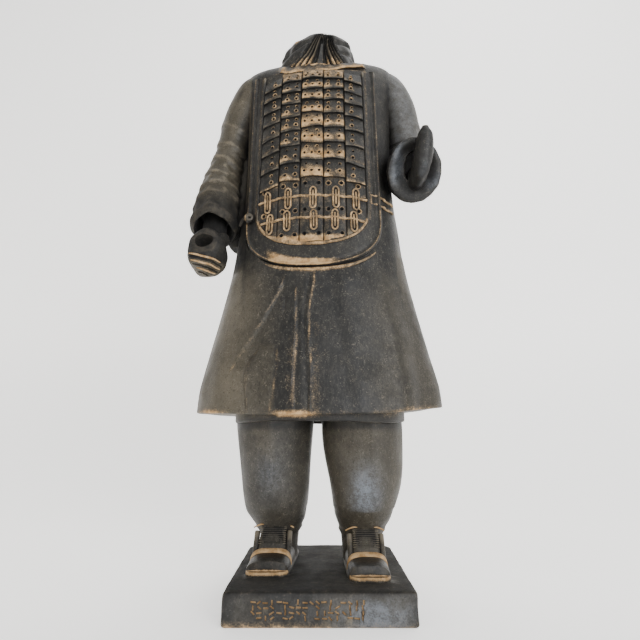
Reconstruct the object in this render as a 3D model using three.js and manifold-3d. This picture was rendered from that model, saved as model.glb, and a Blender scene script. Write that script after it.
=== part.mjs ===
// A headless terracotta warrior replica in fired clay, cast in one with its plinth.
// Millimetres, +Z up, the figure faces -Y, and the origin is the centre of the plinth's underside.
import * as THREE from 'three';
import { mergeVertices } from 'three/addons/utils/BufferGeometryUtils.js';
import Module from 'manifold-3d';

const wasm = await Module();
wasm.setup();

// Driving dimensions of the casting
const FIGURE_HEIGHT = 458;
const PLINTH_WIDTH = 124;
const PLINTH_DEPTH = 130;
const PLINTH_HEIGHT = 20.5;
const PLINTH_REAR_RADIUS = 11;
const PLINTH_FRONT_RADIUS = 2;
const STROKE_DEPTH = 0.8;
const STROKE_WIDTH = 1.8;
const STROKE_HEIGHT = 11;
const SOCKET_WIDTH = 40;
const SOCKET_LENGTH = 34;
const SOCKET_DEPTH = 32;
const FIST_HOLE_DIAMETER = 13;
const CUFF_WALL = 4.5;
const CUFF_RECESS = 11;
const BIB_THICKNESS = 2.6;
const PLATE_LIFT = 1.4;
const PLATE_STEP = 1.3;
const COLUMN_GROOVE = 1.4;
const FLAP_THICKNESS = 1.2;
const STRAP_WIDTH = 7;
const STRAP_THICKNESS = 2;
const SOLE_THICKNESS = 2.6;
const ROBE_WALL = 6;
const HEM_RECESS = 9;

// The figure's stations are written for a figure of this height, and they follow FIGURE_HEIGHT
const DRAWN_HEIGHT = 458;
const k = FIGURE_HEIGHT / DRAWN_HEIGHT;
const at = (x, y, h) => new THREE.Vector3(x * k, y * k, PLINTH_HEIGHT + h * k);

// Small mesh and solid tools
function loft(rings) {
  const sides = rings[0].length;
  const points = rings.flat();
  const index = [];
  for (let r = 0; r + 1 < rings.length; r += 1) {
    for (let s = 0; s < sides; s += 1) {
      const a = r * sides + s;
      const b = r * sides + ((s + 1) % sides);
      index.push(a, b, b + sides, a, b + sides, a + sides);
    }
  }
  for (const first of [0, (rings.length - 1) * sides]) {
    const centre = new THREE.Vector3();
    for (let s = 0; s < sides; s += 1) centre.add(points[first + s]);
    points.push(centre.divideScalar(sides));
    for (let s = 0; s < sides; s += 1) {
      const a = first + s;
      const b = first + ((s + 1) % sides);
      if (first === 0) index.push(b, a, points.length - 1);
      else index.push(a, b, points.length - 1);
    }
  }
  return solidOf(new THREE.BufferGeometry().setFromPoints(points).setIndex(index));
}

function signedVolume(geometry) {
  const p = geometry.getAttribute('position');
  const index = geometry.getIndex().array;
  const [a, b, c] = [new THREE.Vector3(), new THREE.Vector3(), new THREE.Vector3()];
  let sum = 0;
  for (let i = 0; i < index.length; i += 3) {
    a.fromBufferAttribute(p, index[i]);
    b.fromBufferAttribute(p, index[i + 1]);
    c.fromBufferAttribute(p, index[i + 2]);
    sum += a.dot(b.cross(c));
  }
  return sum / 6;
}

function solidOf(geometry) {
  const bare = geometry.clone();
  bare.deleteAttribute('normal');
  bare.deleteAttribute('uv');
  const merged = mergeVertices(bare, 1e-4);
  const triangles = new Uint32Array(merged.getIndex().array);
  if (signedVolume(merged) < 0) {
    for (let i = 0; i < triangles.length; i += 3) {
      [triangles[i], triangles[i + 1]] = [triangles[i + 1], triangles[i]];
    }
  }
  return new wasm.Manifold(new wasm.Mesh({
    numProp: 3,
    vertProperties: new Float32Array(merged.getAttribute('position').array),
    triVerts: triangles,
  }));
}

const union = (solids) => solids.reduce((whole, next) => whole.add(next));

// A smooth curve through rows of numbers, the first of which is the height
function alongStations(stations, h) {
  const last = stations.length - 1;
  const rising = stations[last][0] > stations[0][0] ? 1 : -1;
  let i = 0;
  while (i < last - 1 && (h - stations[i + 1][0]) * rising > 0) i += 1;
  const [p0, p1, p2, p3] = [Math.max(i - 1, 0), i, i + 1, Math.min(i + 2, last)].map((n) => stations[n]);
  const span = p2[0] - p1[0];
  const t = THREE.MathUtils.clamp((h - p1[0]) / span, 0, 1);
  return p1.map((_, c) => {
    const m1 = p2 === p0 ? 0 : ((p2[c] - p0[c]) / (p2[0] - p0[0])) * span;
    const m2 = p3 === p1 ? 0 : ((p3[c] - p1[c]) / (p3[0] - p1[0])) * span;
    const t2 = t * t;
    const t3 = t2 * t;
    return (2 * t3 - 3 * t2 + 1) * p1[c] + (t3 - 2 * t2 + t) * m1
      + (3 * t2 - 2 * t3) * p2[c] + (t3 - t2) * m2;
  });
}

const power = (value, exponent) => Math.sign(value) * Math.abs(value) ** exponent;

// The robe and the trunk: height above the plinth, half width, front, back, squareness
const HEM = 109.5;
const TRUNK_TOP = 438;
const TRUNK_SHIFT = -1;
const TRUNK = [
  [HEM, 97, 59.5, 58, 2.2],
  [131.5, 95, 57.5, 57, 2.2],
  [196.5, 80, 50.5, 49, 2.2],
  [229.5, 73, 46.5, 44, 2.3],
  [262.5, 69, 43.5, 40, 2.4],
  [284.5, 66, 42.5, 38.5, 2.5],
  [306.5, 64.5, 42, 38.5, 2.5],
  [339.5, 64, 41.5, 40, 2.5],
  [374.5, 65.5, 39.5, 41.5, 2.5],
  [399.5, 69, 35.5, 41, 2.5],
  [412, 70, 32, 38, 2.5],
  [422, 68, 25, 33, 2.4],
  [428, 62, 18, 28, 2.3],
  [433, 52, 14, 22, 2.2],
  [TRUNK_TOP, 38, 10, 16, 2],
];
const CHEST_TURN = THREE.MathUtils.degToRad(-4);
const TURN_FROM = 215;
const TURN_TO = 290;
const HEM_RISE = 4.7;
const HEM_SLANT = 2.3;
const HEM_BLEND = 45;

const chestTurn = (h) => CHEST_TURN * THREE.MathUtils.smoothstep(h, TURN_FROM, TURN_TO);

// Broad soft folds that fade out towards the waist
function drape(angle, h) {
  const depth = 1.7 * THREE.MathUtils.clamp((250 - h) / 140, 0, 1);
  return depth * (0.6 * Math.cos(5 * angle + 0.7) + 0.5 * Math.cos(9 * angle + 2.1) + 0.35 * Math.cos(14 * angle));
}

function trunkPoint(angle, h, grow = 0) {
  const [, halfWidth, front, back, squareness] = alongStations(TRUNK, h);
  const out = grow + drape(angle, h);
  const c = Math.cos(angle);
  const s = Math.sin(angle);
  const x = (halfWidth + out) * power(c, 2 / squareness);
  const y = ((s < 0 ? front : back) + out) * power(s, 2 / squareness);
  const turn = chestTurn(h);
  const rise = (HEM_RISE * c * c + HEM_SLANT * c * Math.abs(c))
    * THREE.MathUtils.clamp(1 - (h - HEM) / HEM_BLEND, 0, 1);
  return at(TRUNK_SHIFT + x * Math.cos(turn) - y * Math.sin(turn), x * Math.sin(turn) + y * Math.cos(turn), h + rise);
}

function ring(sides, pointAt) {
  return Array.from({ length: sides }, (_, s) => pointAt((2 * Math.PI * s) / sides));
}

const TRUNK_SIDES = 36;
const TRUNK_STEPS = 21;
const TRUNK_LEVELS = Array.from({ length: TRUNK_STEPS + 1 }, (_, r) => (
  HEM + ((TRUNK_TOP - HEM) * r) / TRUNK_STEPS));

// The trunk between two heights, or a layer of cloth that lies on it and follows its facets
function trunkSolid(from, to, grow = 0) {
  const levels = TRUNK_LEVELS.filter((h) => h >= from && h <= to);
  return loft(levels.map((h) => ring(TRUNK_SIDES, (angle) => trunkPoint(angle, h, grow))));
}

// A plate cut to a front outline: runs along -Y from the middle of the body, turned with the chest
function frontPrism(outline, turn, backwards = false) {
  const shape = new THREE.Shape(outline.map(([x, h]) => new THREE.Vector2(x, h)));
  const prism = new THREE.ExtrudeGeometry(shape, { depth: 90, bevelEnabled: false });
  prism.rotateX(Math.PI / 2);
  if (backwards) prism.rotateZ(Math.PI);
  prism.rotateZ(turn);
  prism.scale(k, k, k).translate(TRUNK_SHIFT * k, 0, PLINTH_HEIGHT);
  return solidOf(prism);
}

// The bib: a straight-sided cloth with a round lower end
const BIB_TOP = 402;
const BIB_SHIFT = -2.4;
const BIB_HALF_WIDTH = 53.5;
const BIB_BOTTOM = 221.5;
const BIB_ROUND_FROM = 264;
const FIELD_HALF_WIDTH = 42;
const FIELD_BOTTOM = 241;
const FIELD_ROUND_FROM = 272;
const ROUND_POWER = 2.4;

// The bib and its plates splay a little towards the bottom
const BIB_SPLAY = 0.06;
const splay = (h) => 1 + BIB_SPLAY * ((BIB_TOP - h) / (BIB_TOP - BIB_BOTTOM));

function roundEndOutline(halfWidth, top, roundFrom, bottom, steps = 12) {
  const outline = [[BIB_SHIFT - halfWidth, top]];
  for (let i = 0; i <= steps; i += 1) {
    const angle = Math.PI + (Math.PI * i) / steps;
    const h = roundFrom + (roundFrom - bottom) * power(Math.sin(angle), 2 / ROUND_POWER);
    outline.push([BIB_SHIFT + halfWidth * splay(h) * power(Math.cos(angle), 2 / ROUND_POWER), h]);
  }
  outline.push([BIB_SHIFT + halfWidth, top]);
  return outline;
}

function bibSolid() {
  const outline = roundEndOutline(BIB_HALF_WIDTH, BIB_TOP, BIB_ROUND_FROM, BIB_BOTTOM);
  return trunkSolid(BIB_BOTTOM - 20, BIB_TOP + 20, BIB_THICKNESS / k)
    .intersect(frontPrism(outline, CHEST_TURN));
}

// Rows of plates grow taller downwards from a short top row, and each row's lower edge laps over the next
const FULL_ROWS = 10;
const BOTTOM_ROW = 20.3;
const ROW_SHRINK = 0.935;
const COLUMN_EDGES = [-FIELD_HALF_WIDTH, -26.2, -9.1, 9.1, 26.2, FIELD_HALF_WIDTH];

// How far each column hangs below the middle one, at its left and its right edge, above the laced rows
const COLUMN_DROPS = [[10, 5.6], [3, 2.3], [0, 0], [0.7, 0.7], [3.2, 6.5]];
const LACED_TOP = 290;
const LACED_SHARE = 0.3;

function rowEdges() {
  const edges = [FIELD_BOTTOM];
  for (let i = 0; i < FULL_ROWS; i += 1) edges.unshift(edges[0] + BOTTOM_ROW * ROW_SHRINK ** i);
  return [BIB_TOP, ...edges];
}

// The front of the trunk at a sideways distance, before the chest is turned
function frontAt(x, h, grow) {
  const [, halfWidth, front, , squareness] = alongStations(TRUNK, h);
  const share = Math.min(Math.abs(x) / (halfWidth + grow), 0.999);
  return -(front + grow) * (1 - share ** squareness) ** (1 / squareness);
}

function plateField() {
  const across = [];
  for (let c = 0; c + 1 < COLUMN_EDGES.length; c += 1) {
    const [left, right] = [COLUMN_EDGES[c], COLUMN_EDGES[c + 1]];
    const [leftDrop, rightDrop] = COLUMN_DROPS[c];
    const groove = COLUMN_GROOVE / 2;
    across.push(
      [left + 0.05, 0, leftDrop], [left + groove, 1, leftDrop],
      [right - groove, 1, rightDrop], [right - 0.05, 0, rightDrop],
    );
  }
  const edges = rowEdges();
  const down = [];
  for (let r = 0; r + 1 < edges.length; r += 1) {
    down.push([edges[r] - 0.05, 0], [edges[r + 1] + 0.05, 1]);
  }
  const rows = [down, down].map((list, inner) => list.map(([level, lap]) => across.map(([x, full, drop]) => {
    const lift = BIB_THICKNESS + full * PLATE_LIFT + full * lap * PLATE_STEP;
    const h = level - drop * (level > LACED_TOP ? 1 : LACED_SHARE);
    const wide = BIB_SHIFT + x * splay(h);
    const y = inner ? -20 : frontAt(wide, h, lift / k);
    const turned = new THREE.Vector2(wide, y).rotateAround(new THREE.Vector2(), CHEST_TURN);
    return at(TRUNK_SHIFT + turned.x, turned.y, h);
  })));
  const slab = rows[0].map((front, r) => [...front, ...rows[1][r].slice().reverse()]);
  const outline = roundEndOutline(FIELD_HALF_WIDTH, BIB_TOP + 1, FIELD_ROUND_FROM, FIELD_BOTTOM);
  return loft(slab).intersect(frontPrism(outline, CHEST_TURN));
}

// The robe's front overlap, its lower panel and the crossed straps behind
function robeFlap() {
  const outline = [[-7, 245], [-11, 205], [-8.5, 175], [-8, 100], [130, 100], [130, 245]];
  return trunkSolid(HEM, 255, FLAP_THICKNESS / k).intersect(frontPrism(outline, 0));
}

function lowerPanel() {
  const outline = [[-54, 105], [-56, 132], [-51, 146], [-42, 156], [-33, 158], [-30, 150], [-31, 130], [-36, 105]];
  return trunkSolid(HEM, 180, FLAP_THICKNESS / k).intersect(frontPrism(outline, 0));
}

function backStraps() {
  const high = 428;
  const low = 268;
  const spread = 44;
  const half = STRAP_WIDTH / 2 / k;
  const straps = [1, -1].map((side) => {
    const outline = [
      [side * (spread + half), high], [side * (spread - half), high],
      [side * (-spread - half), low], [side * (-spread + half), low],
    ];
    return frontPrism(side > 0 ? outline : outline.reverse(), CHEST_TURN, true);
  });
  const belt = frontPrism([[-64, low - half], [64, low - half], [64, low + half], [-64, low + half]], CHEST_TURN, true);
  return trunkSolid(low - 20, high, STRAP_THICKNESS / k).intersect(union([...straps, belt]));
}

const UNDER_ROBE_BOTTOM = 105;
const UNDER_ROBE_HALF_WIDTH = 67;
const UNDER_ROBE_HALF_DEPTH = 51;

function underRobe() {
  const levels = [UNDER_ROBE_BOTTOM, HEM + 14];
  return loft(levels.map((h) => ring(32, (angle) => at(
    UNDER_ROBE_HALF_WIDTH * power(Math.cos(angle), 0.8),
    UNDER_ROBE_HALF_DEPTH * power(Math.sin(angle), 0.8), h))));
}

function hemHollow() {
  const inset = ROBE_WALL / k;
  return loft([UNDER_ROBE_BOTTOM - 6, UNDER_ROBE_BOTTOM + HEM_RECESS / k].map((h) => ring(28, (angle) => at(
    (UNDER_ROBE_HALF_WIDTH - inset) * power(Math.cos(angle), 0.8),
    (UNDER_ROBE_HALF_DEPTH - inset) * power(Math.sin(angle), 0.8), h))));
}

// A limb is a row of ovals, square to its path: x, y, height, half width, half depth
function limb(stations, steps, sides, relief = () => 0) {
  const keyed = stations.map((station, i) => [i, ...station]);
  const last = stations.length - 1;
  const centreAt = (t) => {
    const [, x, y, h] = alongStations(keyed, t);
    return new THREE.Vector3(x, y, h);
  };
  return loft(Array.from({ length: steps + 1 }, (_, r) => {
    const t = (last * r) / steps;
    const [, x, y, h, a, b] = alongStations(keyed, t);
    const path = centreAt(Math.min(t + 0.05, last)).sub(centreAt(Math.max(t - 0.05, 0))).normalize();
    const across = new THREE.Vector3(1, 0, 0).cross(path).normalize();
    const sideways = path.clone().cross(across).normalize();
    return ring(sides, (angle) => {
      const swell = 1 + relief(t, angle);
      const point = new THREE.Vector3(x, y, h)
        .addScaledVector(sideways, a * swell * Math.cos(angle))
        .addScaledVector(across, b * swell * Math.sin(angle));
      return at(point.x, point.y, point.z);
    });
  }));
}

// The hanging right arm, its ringed sleeve and the fist that once held a shaft
const RIGHT_ARM = [
  [-40, 4, 421, 9, 12],
  [-49, 4, 418, 13, 17],
  [-59, 5, 408, 18, 23],
  [-67, 6, 393, 18.5, 24],
  [-73, 7, 378, 18, 23.5],
  [-78, 7, 357, 16.5, 22.5],
  [-83, 5, 335, 15.5, 21.5],
  [-87.5, 0, 312, 17, 21.5],
  [-89.5, -8, 289, 18.5, 22.5],
  [-89.5, -19, 262, 18.5, 23],
];
const SLEEVE_RINGS = 5;
const RING_SWELL = 0.045;

const sleeveRings = (t) => RING_SWELL * THREE.MathUtils.smoothstep(t, 4, 5)
  * (1 - 2 * ((SLEEVE_RINGS * t / 4) % 1));

function cuffCut(stations, reach) {
  const [x, y, h, a, b] = stations[stations.length - 1];
  const [, y0, h0] = stations[stations.length - 2];
  const length = Math.hypot(y - y0, h - h0);
  const [dy, dh] = [(y - y0) / length, (h - h0) / length];
  const wall = CUFF_WALL / k;
  return [
    [x, y - dy * reach, h - dh * reach, a - wall, b - wall],
    [x, y + dy * 4, h + dh * 4, a - wall, b - wall],
  ];
}

function rightArm() {
  return limb(RIGHT_ARM, 18, 16, sleeveRings).subtract(limb(cuffCut(RIGHT_ARM, CUFF_RECESS / k), 1, 14));
}

const FIST = [-89, -36, 237];
const FIST_AXIS = new THREE.Vector3(0, -0.94, 0.342).normalize();

function alongFist(sides, reach, radiusAt, steps) {
  const up = new THREE.Vector3(1, 0, 0).cross(FIST_AXIS).normalize();
  return loft(Array.from({ length: steps + 1 }, (_, r) => {
    const t = -1 + (2 * r) / steps;
    return ring(sides, (angle) => {
      const radius = radiusAt(t);
      const point = new THREE.Vector3(...FIST)
        .addScaledVector(FIST_AXIS, reach * t)
        .addScaledVector(new THREE.Vector3(1, 0, 0), radius[0] * Math.cos(angle))
        .addScaledVector(up, radius[1] * Math.sin(angle));
      return at(point.x, point.y, point.z);
    });
  }));
}

// The sleeve is joined to the robe behind, along its inner side
function armWeb() {
  return limb([[-62, 8, 408, 12, 12], [-66, 10, 350, 12, 13], [-71, 8, 290, 12, 13], [-73, 6, 255, 9, 12]], 4, 8);
}

function rightHand() {
  const fingers = 4;
  const hand = alongFist(16, 14.5, (t) => {
    const round = (1 - Math.abs(0.86 * t) ** 3.2) ** 0.5 * (1 - 0.06 * Math.cos(Math.PI * fingers * (t + 1)));
    return [14.8 * round, 16 * round];
  }, 12);
  const wrist = limb([[-89.5, -7, 290, 13, 14], [-89, -29, 248, 12.5, 13]], 2, 12);
  const hole = FIST_HOLE_DIAMETER / 2 / k;
  const shaft = alongFist(16, 24, () => [hole, hole], 1);
  return [union([hand, wrist]), shaft];
}

// The bent left arm, its wide cuff and the flat hand standing up out of it
const LEFT_ARM = [
  [40, 2, 423, 9, 12],
  [50, 2, 420, 13, 17],
  [60, 2, 409, 18.5, 23],
  [68.5, 2, 393, 19, 24.5],
  [73, 3, 378, 18.5, 24],
  [76, 5, 360, 17.5, 23],
  [77.5, 6, 344, 18, 22],
  [78, 1, 330, 19, 21],
  [78, -10, 321, 20, 21],
  [77, -28, 312, 21, 23.5],
  [76, -46, 303, 21.5, 25.5],
];

const elbowCreases = (t) => 0.03 * THREE.MathUtils.smoothstep(t, 4, 5) * (1 - 2 * ((1.5 * t) % 1));

function leftArm() {
  return limb(LEFT_ARM, 18, 16, elbowCreases).subtract(limb(cuffCut(LEFT_ARM, CUFF_RECESS / k), 1, 14));
}

function leftHand() {
  return limb([
    [78, -26, 303, 9, 11],
    [79, -40, 301, 8.5, 12],
    [80, -50, 304, 7.5, 12],
    [81, -58, 312, 7.5, 12],
    [80.5, -64, 323, 5.5, 9],
    [80, -66, 329.5, 2, 3],
  ], 10, 12);
}

// The scarf: an oval collar with folds that fan down from its front
const COLLAR_SHIFT = -1.5;
const COLLAR_BASE = 406;
const COLLAR_TOP = 458;
const COLLAR = [
  [COLLAR_BASE, 40, 33, 32, 2],
  [418, 39, 34, 32, 2],
  [430, 37, 32, 31, 2],
  [441, 35, 30, 29, 2],
  [450, 33, 27, 28, 2],
  [455.5, 29, 23.5, 25, 2],
  [COLLAR_TOP, 25, 20, 21.5, 2],
];
const COLLAR_DIP = 5;
const FAN_FOLDS = 3.5;
const FAN_DEPTH = 1.3;
const ROLL_SWELL = 1.6;

// Folds fan out from under the chin, and the scarf is rolled at either side of them
function scarfRelief(fromFront, v) {
  const spread = 0.16 + 1.1 * (1 - v) ** 0.8;
  const across = Math.abs(fromFront) / spread;
  const fan = THREE.MathUtils.smoothstep(1.15 - across, 0, 0.25);
  const fold = -FAN_DEPTH * Math.cos(2 * Math.PI * FAN_FOLDS * across);
  const roll = ROLL_SWELL * Math.sin(Math.PI * THREE.MathUtils.clamp((v - 0.25) / 0.7, 0, 1));
  return fan * fold + (1 - fan) * roll;
}

function collarSolid() {
  const levels = 8;
  return loft(Array.from({ length: levels + 1 }, (_, r) => {
    const v = r / levels;
    const h = COLLAR_BASE + (COLLAR_TOP - COLLAR_BASE) * v;
    const [, halfWidth, front, back] = alongStations(COLLAR, h);
    return ring(40, (turn) => {
      const angle = turn - 0.55 * Math.cos(turn);
      const c = Math.cos(angle);
      const s = Math.sin(angle);
      const frontness = Math.max(-s, 0) ** 2;
      const out = scarfRelief(Math.atan2(c, -s), v) * Math.max(0.3, -s);
      const dip = COLLAR_DIP * (1 - frontness) * Math.max(0, (h - 440) / 18);
      return at(COLLAR_SHIFT + (halfWidth + out) * c, ((s < 0 ? front : back) + out) * s, h - dip);
    });
  }));
}

function neckSocket() {
  const floor = PLINTH_HEIGHT + FIGURE_HEIGHT - SOCKET_DEPTH;
  return loft([floor, floor + SOCKET_DEPTH + 10].map((z) => ring(28, (angle) => new THREE.Vector3(
    COLLAR_SHIFT * k + (SOCKET_WIDTH / 2) * Math.cos(angle), (SOCKET_LENGTH / 2) * Math.sin(angle), z))));
}

// Trousers: gathered at the ankle
const LEG_HEIGHTS = [116, 90, 60, 40, 30, 24.5, 21, 4];
const LEGS = [
  { x: [-36.2, -35.8, -35.2, -34.6, -33.2, -32.2, -32, -31.5], y: [2, 4, 7, 10, 12, 13, 14, 14], w: [31.2, 29.7, 27.2, 23.6, 19.4, 17.5, 15, 14] },
  { x: [33, 33.8, 35.7, 34, 32.8, 32.2, 32, 32], y: [-2, -1, 0, 1, 2, 3, 4, 4], w: [32, 31.2, 28.3, 23, 19.2, 17.7, 15.5, 14] },
];

function legSolid({ x, y, w }) {
  return loft(LEG_HEIGHTS.map((h, i) => ring(18, (angle) => at(
    x[i] + w[i] * Math.cos(angle), y[i] + w[i] * 1.04 * Math.sin(angle), h))));
}

// Square-toed shoes: toe, heel and instep in plan, with a tongue panel up to the trousers
const SHOES = [
  { toe: [-37.8, -34], heel: [-31.5, 42], half: 15.8 },
  { toe: [34, -46], heel: [32.5, 31], half: 15 },
];

function shoeSection([x, y], halfWidth, height, floor) {
  const points = [[-1, 0], [-1, 0.55], [-0.86, 0.85], [-0.45, 1], [0, 1.06], [0.45, 1], [0.86, 0.85], [1, 0.55], [1, 0]];
  return points.map(([u, v]) => at(x + u * halfWidth, y, floor + v * (height - floor)));
}

function shoeSolid({ toe, heel, half }) {
  const along = (t) => [THREE.MathUtils.lerp(toe[0], heel[0], t), THREE.MathUtils.lerp(toe[1], heel[1], t)];
  const solePlan = [[-1, 0], [1, 0], [1, 0.55], [0.86, 0.85], [0.45, 1], [-0.45, 1], [-0.86, 0.85], [-1, 0.55]];
  const sole = loft([-1 / k, SOLE_THICKNESS / k].map((h) => solePlan.map(([u, t]) => {
    const [x, y] = along(t);
    return at(x + u * half, y, h);
  })));
  const upper = loft([
    [0.045, 0.93, 4.4], [0.075, 0.95, 7.2], [0.14, 0.95, 8.8], [0.27, 0.96, 10.6], [0.45, 0.97, 14],
    [0.62, 0.95, 18], [0.85, 0.86, 18], [0.97, 0.6, 14],
  ].map(([t, width, height]) => shoeSection(along(t), half * width, height, 0.5)));
  const tongue = loft([
    [0.26, 0.93, 11.6], [0.3, 0.9, 16.5], [0.37, 0.87, 27.8], [0.42, 0.86, 28.6], [0.6, 0.7, 24],
  ].map(([t, width, height]) => shoeSection(along(t), half * width, height, 1)));
  return union([sole, upper, tongue]);
}

// The plinth, with rows of short shallow strokes where an inscription would be
function plinthSolid() {
  const [w, d] = [PLINTH_WIDTH / 2, PLINTH_DEPTH / 2];
  const shape = new THREE.Shape();
  const corner = (cx, cy, radius, from) => shape.absarc(cx, cy, radius, from, from + Math.PI / 2, false);
  corner(w - PLINTH_REAR_RADIUS, d - PLINTH_REAR_RADIUS, PLINTH_REAR_RADIUS, 0);
  corner(-w + PLINTH_REAR_RADIUS, d - PLINTH_REAR_RADIUS, PLINTH_REAR_RADIUS, Math.PI / 2);
  corner(-w + PLINTH_FRONT_RADIUS, -d + PLINTH_FRONT_RADIUS, PLINTH_FRONT_RADIUS, Math.PI);
  corner(w - PLINTH_FRONT_RADIUS, -d + PLINTH_FRONT_RADIUS, PLINTH_FRONT_RADIUS, 1.5 * Math.PI);
  return solidOf(new THREE.ExtrudeGeometry(shape, { depth: PLINTH_HEIGHT, bevelEnabled: false, curveSegments: 5 }));
}

function strokeRows() {
  const columns = 8;
  const from = -40;
  const pitch = 8.6;
  const middle = PLINTH_HEIGHT / 2;
  const strokes = [];
  for (let i = 0; i < columns; i += 1) {
    const x = from + pitch * i;
    for (const [row, width] of [[-1, 0.75], [0, 1], [1, 0.75]]) {
      const lean = ((i * 7 + row * 3) % 5) - 2;
      const stroke = new THREE.BoxGeometry(pitch * 0.62 * width, 2 * STROKE_DEPTH, STROKE_WIDTH);
      stroke.rotateY(THREE.MathUtils.degToRad(9 * lean));
      stroke.translate(x + lean * 0.3, -PLINTH_DEPTH / 2, middle + row * (STROKE_HEIGHT / 2 - STROKE_WIDTH / 2));
      strokes.push(solidOf(stroke));
    }
  }
  return strokes;
}

function warriorSolid() {
  const [fist, shaftHole] = rightHand();
  const robe = union([trunkSolid(HEM, TRUNK_TOP), underRobe()]).subtract(hemHollow());
  const dress = [bibSolid(), plateField(), robeFlap(), lowerPanel(), backStraps()];
  const limbs = [rightArm(), armWeb(), leftArm(), leftHand(), ...LEGS.map(legSolid), ...SHOES.map(shoeSolid)];
  return union([plinthSolid(), robe, ...dress, ...limbs, collarSolid(), fist])
    .subtract(neckSocket())
    .subtract(shaftHole)
    .subtract(union(strokeRows()));
}

function meshOf(name, solid, material) {
  const { vertProperties, triVerts } = solid.getMesh();
  const geometry = new THREE.BufferGeometry();
  geometry.setAttribute('position', new THREE.BufferAttribute(new Float32Array(vertProperties), 3));
  geometry.setIndex(new THREE.BufferAttribute(new Uint32Array(triVerts), 1));
  geometry.computeVertexNormals();
  const mesh = new THREE.Mesh(geometry, material);
  mesh.name = name;
  return mesh;
}

const blackenedClay = new THREE.MeshStandardMaterial({ color: 0x3a3735, roughness: 0.62, metalness: 0 });

const model = new THREE.Group();
model.name = 'terracotta warrior';
model.add(meshOf('warrior', warriorSolid(), blackenedClay));

export default model;
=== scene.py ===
# A headless terracotta warrior replica in blackened fired clay, cast in one with its plinth.
# Sizes are millimetres until a mesh is made; heights h count from the plinth's top.
import functools
import math

import bmesh
import bpy
import numpy as np
from mathutils import Euler, Matrix, Vector, noise
from mathutils.bvhtree import BVHTree


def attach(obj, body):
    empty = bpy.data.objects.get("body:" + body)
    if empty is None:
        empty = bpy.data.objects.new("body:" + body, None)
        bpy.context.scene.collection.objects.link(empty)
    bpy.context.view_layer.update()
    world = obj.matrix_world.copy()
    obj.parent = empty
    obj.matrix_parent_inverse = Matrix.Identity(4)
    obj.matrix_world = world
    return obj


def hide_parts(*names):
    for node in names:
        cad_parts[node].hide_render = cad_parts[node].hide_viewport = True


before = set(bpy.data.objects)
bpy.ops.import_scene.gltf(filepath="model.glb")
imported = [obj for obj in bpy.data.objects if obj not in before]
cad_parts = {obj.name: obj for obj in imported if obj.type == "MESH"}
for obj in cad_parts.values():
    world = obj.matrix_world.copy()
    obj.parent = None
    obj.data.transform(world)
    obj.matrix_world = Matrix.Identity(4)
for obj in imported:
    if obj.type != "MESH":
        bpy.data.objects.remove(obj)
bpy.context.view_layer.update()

MM = 0.001
PLINTH_WIDTH = 124.0
PLINTH_DEPTH = 130.0
PLINTH_HEIGHT = 20.5
TAU = 2 * math.pi


# Camera at the photo's viewing angle: low in front of the figure and tilted up
def photo_camera():
    focal_pixels, photo_width_pixels = 481.0, 640.0
    tilt_up = math.radians(12.9)
    stand = (0.0, -0.397, 0.1196)
    data = bpy.data.cameras.new("camera")
    data.sensor_width = 36.0
    data.lens = data.sensor_width * focal_pixels / photo_width_pixels
    data.clip_start = 0.01
    camera = bpy.data.objects.new("camera", data)
    camera.location = stand
    camera.rotation_euler = (math.pi / 2 + tilt_up, 0.0, 0.0)
    bpy.context.scene.collection.objects.link(camera)
    bpy.context.scene.camera = camera


# Marks that faces keep through the joins and cuts, for the finish
STROKE, LACE, FINGER, TRIM, PIT, GAP, RIDGE = range(1, 8)
MARK_COUNT = 8
BARE_OF_MARK = {STROKE: 0.95, LACE: 0.58, FINGER: 0.80, TRIM: 0.9, RIDGE: 0.52}
# Pit and gap faces are painted near-black as shade in holes, slits, grooves and under overhangs
SHADE_OF_MARK = {PIT: 0.8, GAP: 0.75}


# Curves and simple mesh makers
def along(stations, h):
    """Rows of numbers read at h along a smooth curve. The first column is the height."""
    rows = np.asarray(stations, float)
    h = np.atleast_1d(np.asarray(h, float))
    last = len(rows) - 1
    i = np.clip(np.searchsorted(rows[:, 0], h, side="right") - 1, 0, last - 1)
    p0, p1 = rows[np.maximum(i - 1, 0)], rows[i]
    p2, p3 = rows[i + 1], rows[np.minimum(i + 2, last)]
    span = (p2[:, 0] - p1[:, 0])[:, None]
    t = np.clip((h[:, None] - p1[:, :1]) / span, 0, 1)
    m1 = (p2 - p0) / (p2[:, :1] - p0[:, :1]) * span
    m2 = (p3 - p1) / (p3[:, :1] - p1[:, :1]) * span
    t2, t3 = t * t, t * t * t
    out = (2 * t3 - 3 * t2 + 1) * p1 + (t3 - 2 * t2 + t) * m1
    return out + (3 * t2 - 2 * t3) * p2 + (t3 - t2) * m2


def smoothstep(x, low, high):
    t = np.clip((np.asarray(x, float) - low) / (high - low), 0, 1)
    return t * t * (3 - 2 * t)


def power(value, exponent):
    return np.sign(value) * np.abs(value) ** exponent


def up(points):
    """Figure millimetres to the row's metres."""
    lifted = np.array(points, float)
    lifted[..., 2] += PLINTH_HEIGHT
    return lifted * MM


def in_figure(place):
    """x, y and height in figure millimetres, from a mesh's metres."""
    return place[:, 0] / MM, place[:, 1] / MM, place[:, 2] / MM - PLINTH_HEIGHT


def mesh_object(name, points, faces):
    mesh = bpy.data.meshes.new(name)
    mesh.from_pydata([tuple(p) for p in points], [], faces)
    mesh.validate()
    thing = bpy.data.objects.new(name, mesh)
    bpy.context.scene.collection.objects.link(thing)
    bm = bmesh.new()
    bm.from_mesh(mesh)
    if bm.calc_volume(signed=True) < 0:
        bmesh.ops.reverse_faces(bm, faces=bm.faces)
    bm.to_mesh(mesh)
    bm.free()
    return thing


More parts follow.
